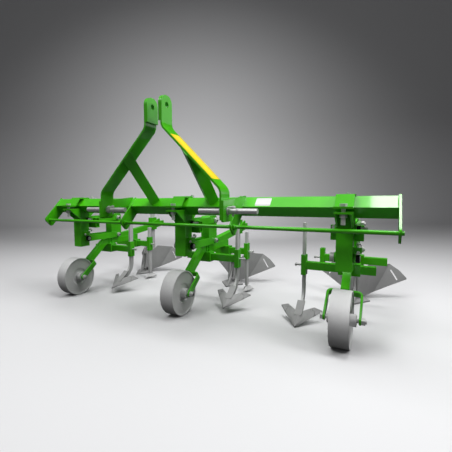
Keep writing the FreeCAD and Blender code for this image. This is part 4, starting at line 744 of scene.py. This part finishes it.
def build_stage():
    """A floor that curves up into a backdrop behind the object, seen along the camera's heading."""
    bm = bmesh.new()
    heading = Vector((-math.sin(CAMERA_YAW), math.cos(CAMERA_YAW), 0))
    across = Vector((heading.y, -heading.x, 0))
    line = [(-FLOOR_FRONT, 0.0), (CURVE_START, 0.0)]
    for step in range(1, CURVE_STEPS + 1):
        turn = math.pi / 2 * step / CURVE_STEPS
        line.append((CURVE_START + CURVE_RADIUS * math.sin(turn), CURVE_RADIUS * (1 - math.cos(turn))))
    line.append((CURVE_START + CURVE_RADIUS, WALL_TOP))
    rows = [[bm.verts.new(heading * out + Z_AXIS * up + across * side) for side in both(FLOOR_HALF_WIDE)]
            for out, up in line]
    for here, there in zip(rows, rows[1:]):
        bm.faces.new((here[0], here[1], there[1], there[0]))
    mesh = bpy.data.meshes.new("floor")
    bm.to_mesh(mesh)
    bm.free()
    for face in mesh.polygons:
        face.use_smooth = True
    floor = bpy.data.objects.new("floor", mesh)
    bpy.context.scene.collection.objects.link(floor)
    mesh.materials.append(plain_material("floor_matt", (0.66, 0.66, 0.67), grey(0.06)))


# Lamps

def add_lamp(name, position, target, size, power, mirrored=True, spread=180.0, lights=True):
    """A soft lamp. Unmirrored, it leaves no haze on the paint; with lights off, it gives sheen alone."""
    light = bpy.data.lights.new(name, "AREA")
    light.shape = "RECTANGLE"
    light.size, light.size_y = size
    light.energy = power
    light.spread = math.radians(spread)
    lamp = bpy.data.objects.new(name, light)
    lamp.visible_glossy = mirrored
    lamp.visible_diffuse = lights
    lamp.location = position
    lamp.rotation_euler = (Vector(target) - Vector(position)).to_track_quat("-Z", "Y").to_euler()
    bpy.context.scene.collection.objects.link(lamp)


def build_lights():
    add_lamp("top_softbox", (0.1, 0.1, 3.2), (0.1, 0.0, 0.4), (3.2, 2.2), 76, mirrored=False)
    add_lamp("haze_softbox", (0.75, -0.3, 3.0), (0.75, -0.3, 0.5), (2.6, 1.2), 9)
    add_lamp("strip_softbox", (0.93, -0.35, 2.6), (0.93, -0.35, 0.5), (0.36, 0.5), 12)
    add_lamp("front_softbox", (-1.3, -2.6, 3.9), (0.0, 0.0, 0.4), (1.8, 1.4), 74)
    add_lamp("side_softbox", (3.2, -0.3, 2.5), (0.3, 0.0, 0.4), (1.4, 1.4), 50)
    add_lamp("back_softbox", (-0.7, 1.25, 3.4), (-4.0, 6.9, 0.5), (1.6, 1.0), 78,
             mirrored=False, spread=100.0)
    add_lamp("sheen_softbox", (3.4, 2.8, 1.7), (0.0, -0.2, 0.8), (3.4, 1.8), 20, lights=False)


def build_world():
    world = bpy.data.worlds.new("studio")
    bpy.context.scene.world = world
    world.use_nodes = True
    background = world.node_tree.nodes["Background"]
    background.inputs["Color"].default_value = (0.9, 0.9, 0.92, 1.0)
    background.inputs["Strength"].default_value = 0.14


# Camera

SENSOR = 36.0
FRAME_PIXELS = 452
FOCAL_PIXELS = 328.64
MIDDLE_PIXEL = (191.70, 223.77)
CAMERA_PLACE = place(881.4, -1415.4, 579.9)
CAMERA_PITCH = math.radians(4.400)
CAMERA_ROLL = math.radians(0.519)


def build_camera():
    """The photograph's view: its place, heading, lens, and the shift that its framing needs."""
    forward = Vector((-math.sin(CAMERA_YAW) * math.cos(CAMERA_PITCH),
                      math.cos(CAMERA_YAW) * math.cos(CAMERA_PITCH), -math.sin(CAMERA_PITCH)))
    level = Vector((math.cos(CAMERA_YAW), math.sin(CAMERA_YAW), 0))
    down = forward.cross(level)
    right = level * math.cos(CAMERA_ROLL) + down * math.sin(CAMERA_ROLL)
    up = level * math.sin(CAMERA_ROLL) - down * math.cos(CAMERA_ROLL)
    lens = bpy.data.cameras.new("camera")
    lens.sensor_width = SENSOR
    lens.lens = SENSOR * FOCAL_PIXELS / FRAME_PIXELS
    lens.shift_x = 0.5 - MIDDLE_PIXEL[0] / FRAME_PIXELS
    lens.shift_y = MIDDLE_PIXEL[1] / FRAME_PIXELS - 0.5
    camera = bpy.data.objects.new("camera", lens)
    turn = Matrix((right, up, -forward)).transposed().to_4x4()
    camera.matrix_world = Matrix.Translation(CAMERA_PLACE) @ turn
    bpy.context.scene.collection.objects.link(camera)
    bpy.context.scene.camera = camera


dress_nodes()
toolbar_welds()
column_welds()
for row_unit in UNITS:
    row_welds(row_unit)
    arm_welds(row_unit)
    ridger_welds(row_unit)
toolbar_threads()
for row_unit in UNITS:
    row_threads(row_unit)
mast_sticker()
beam_sticker()
build_stage()
build_lights()
build_world()
build_camera()
bpy.context.scene.view_settings.view_transform = "Standard"
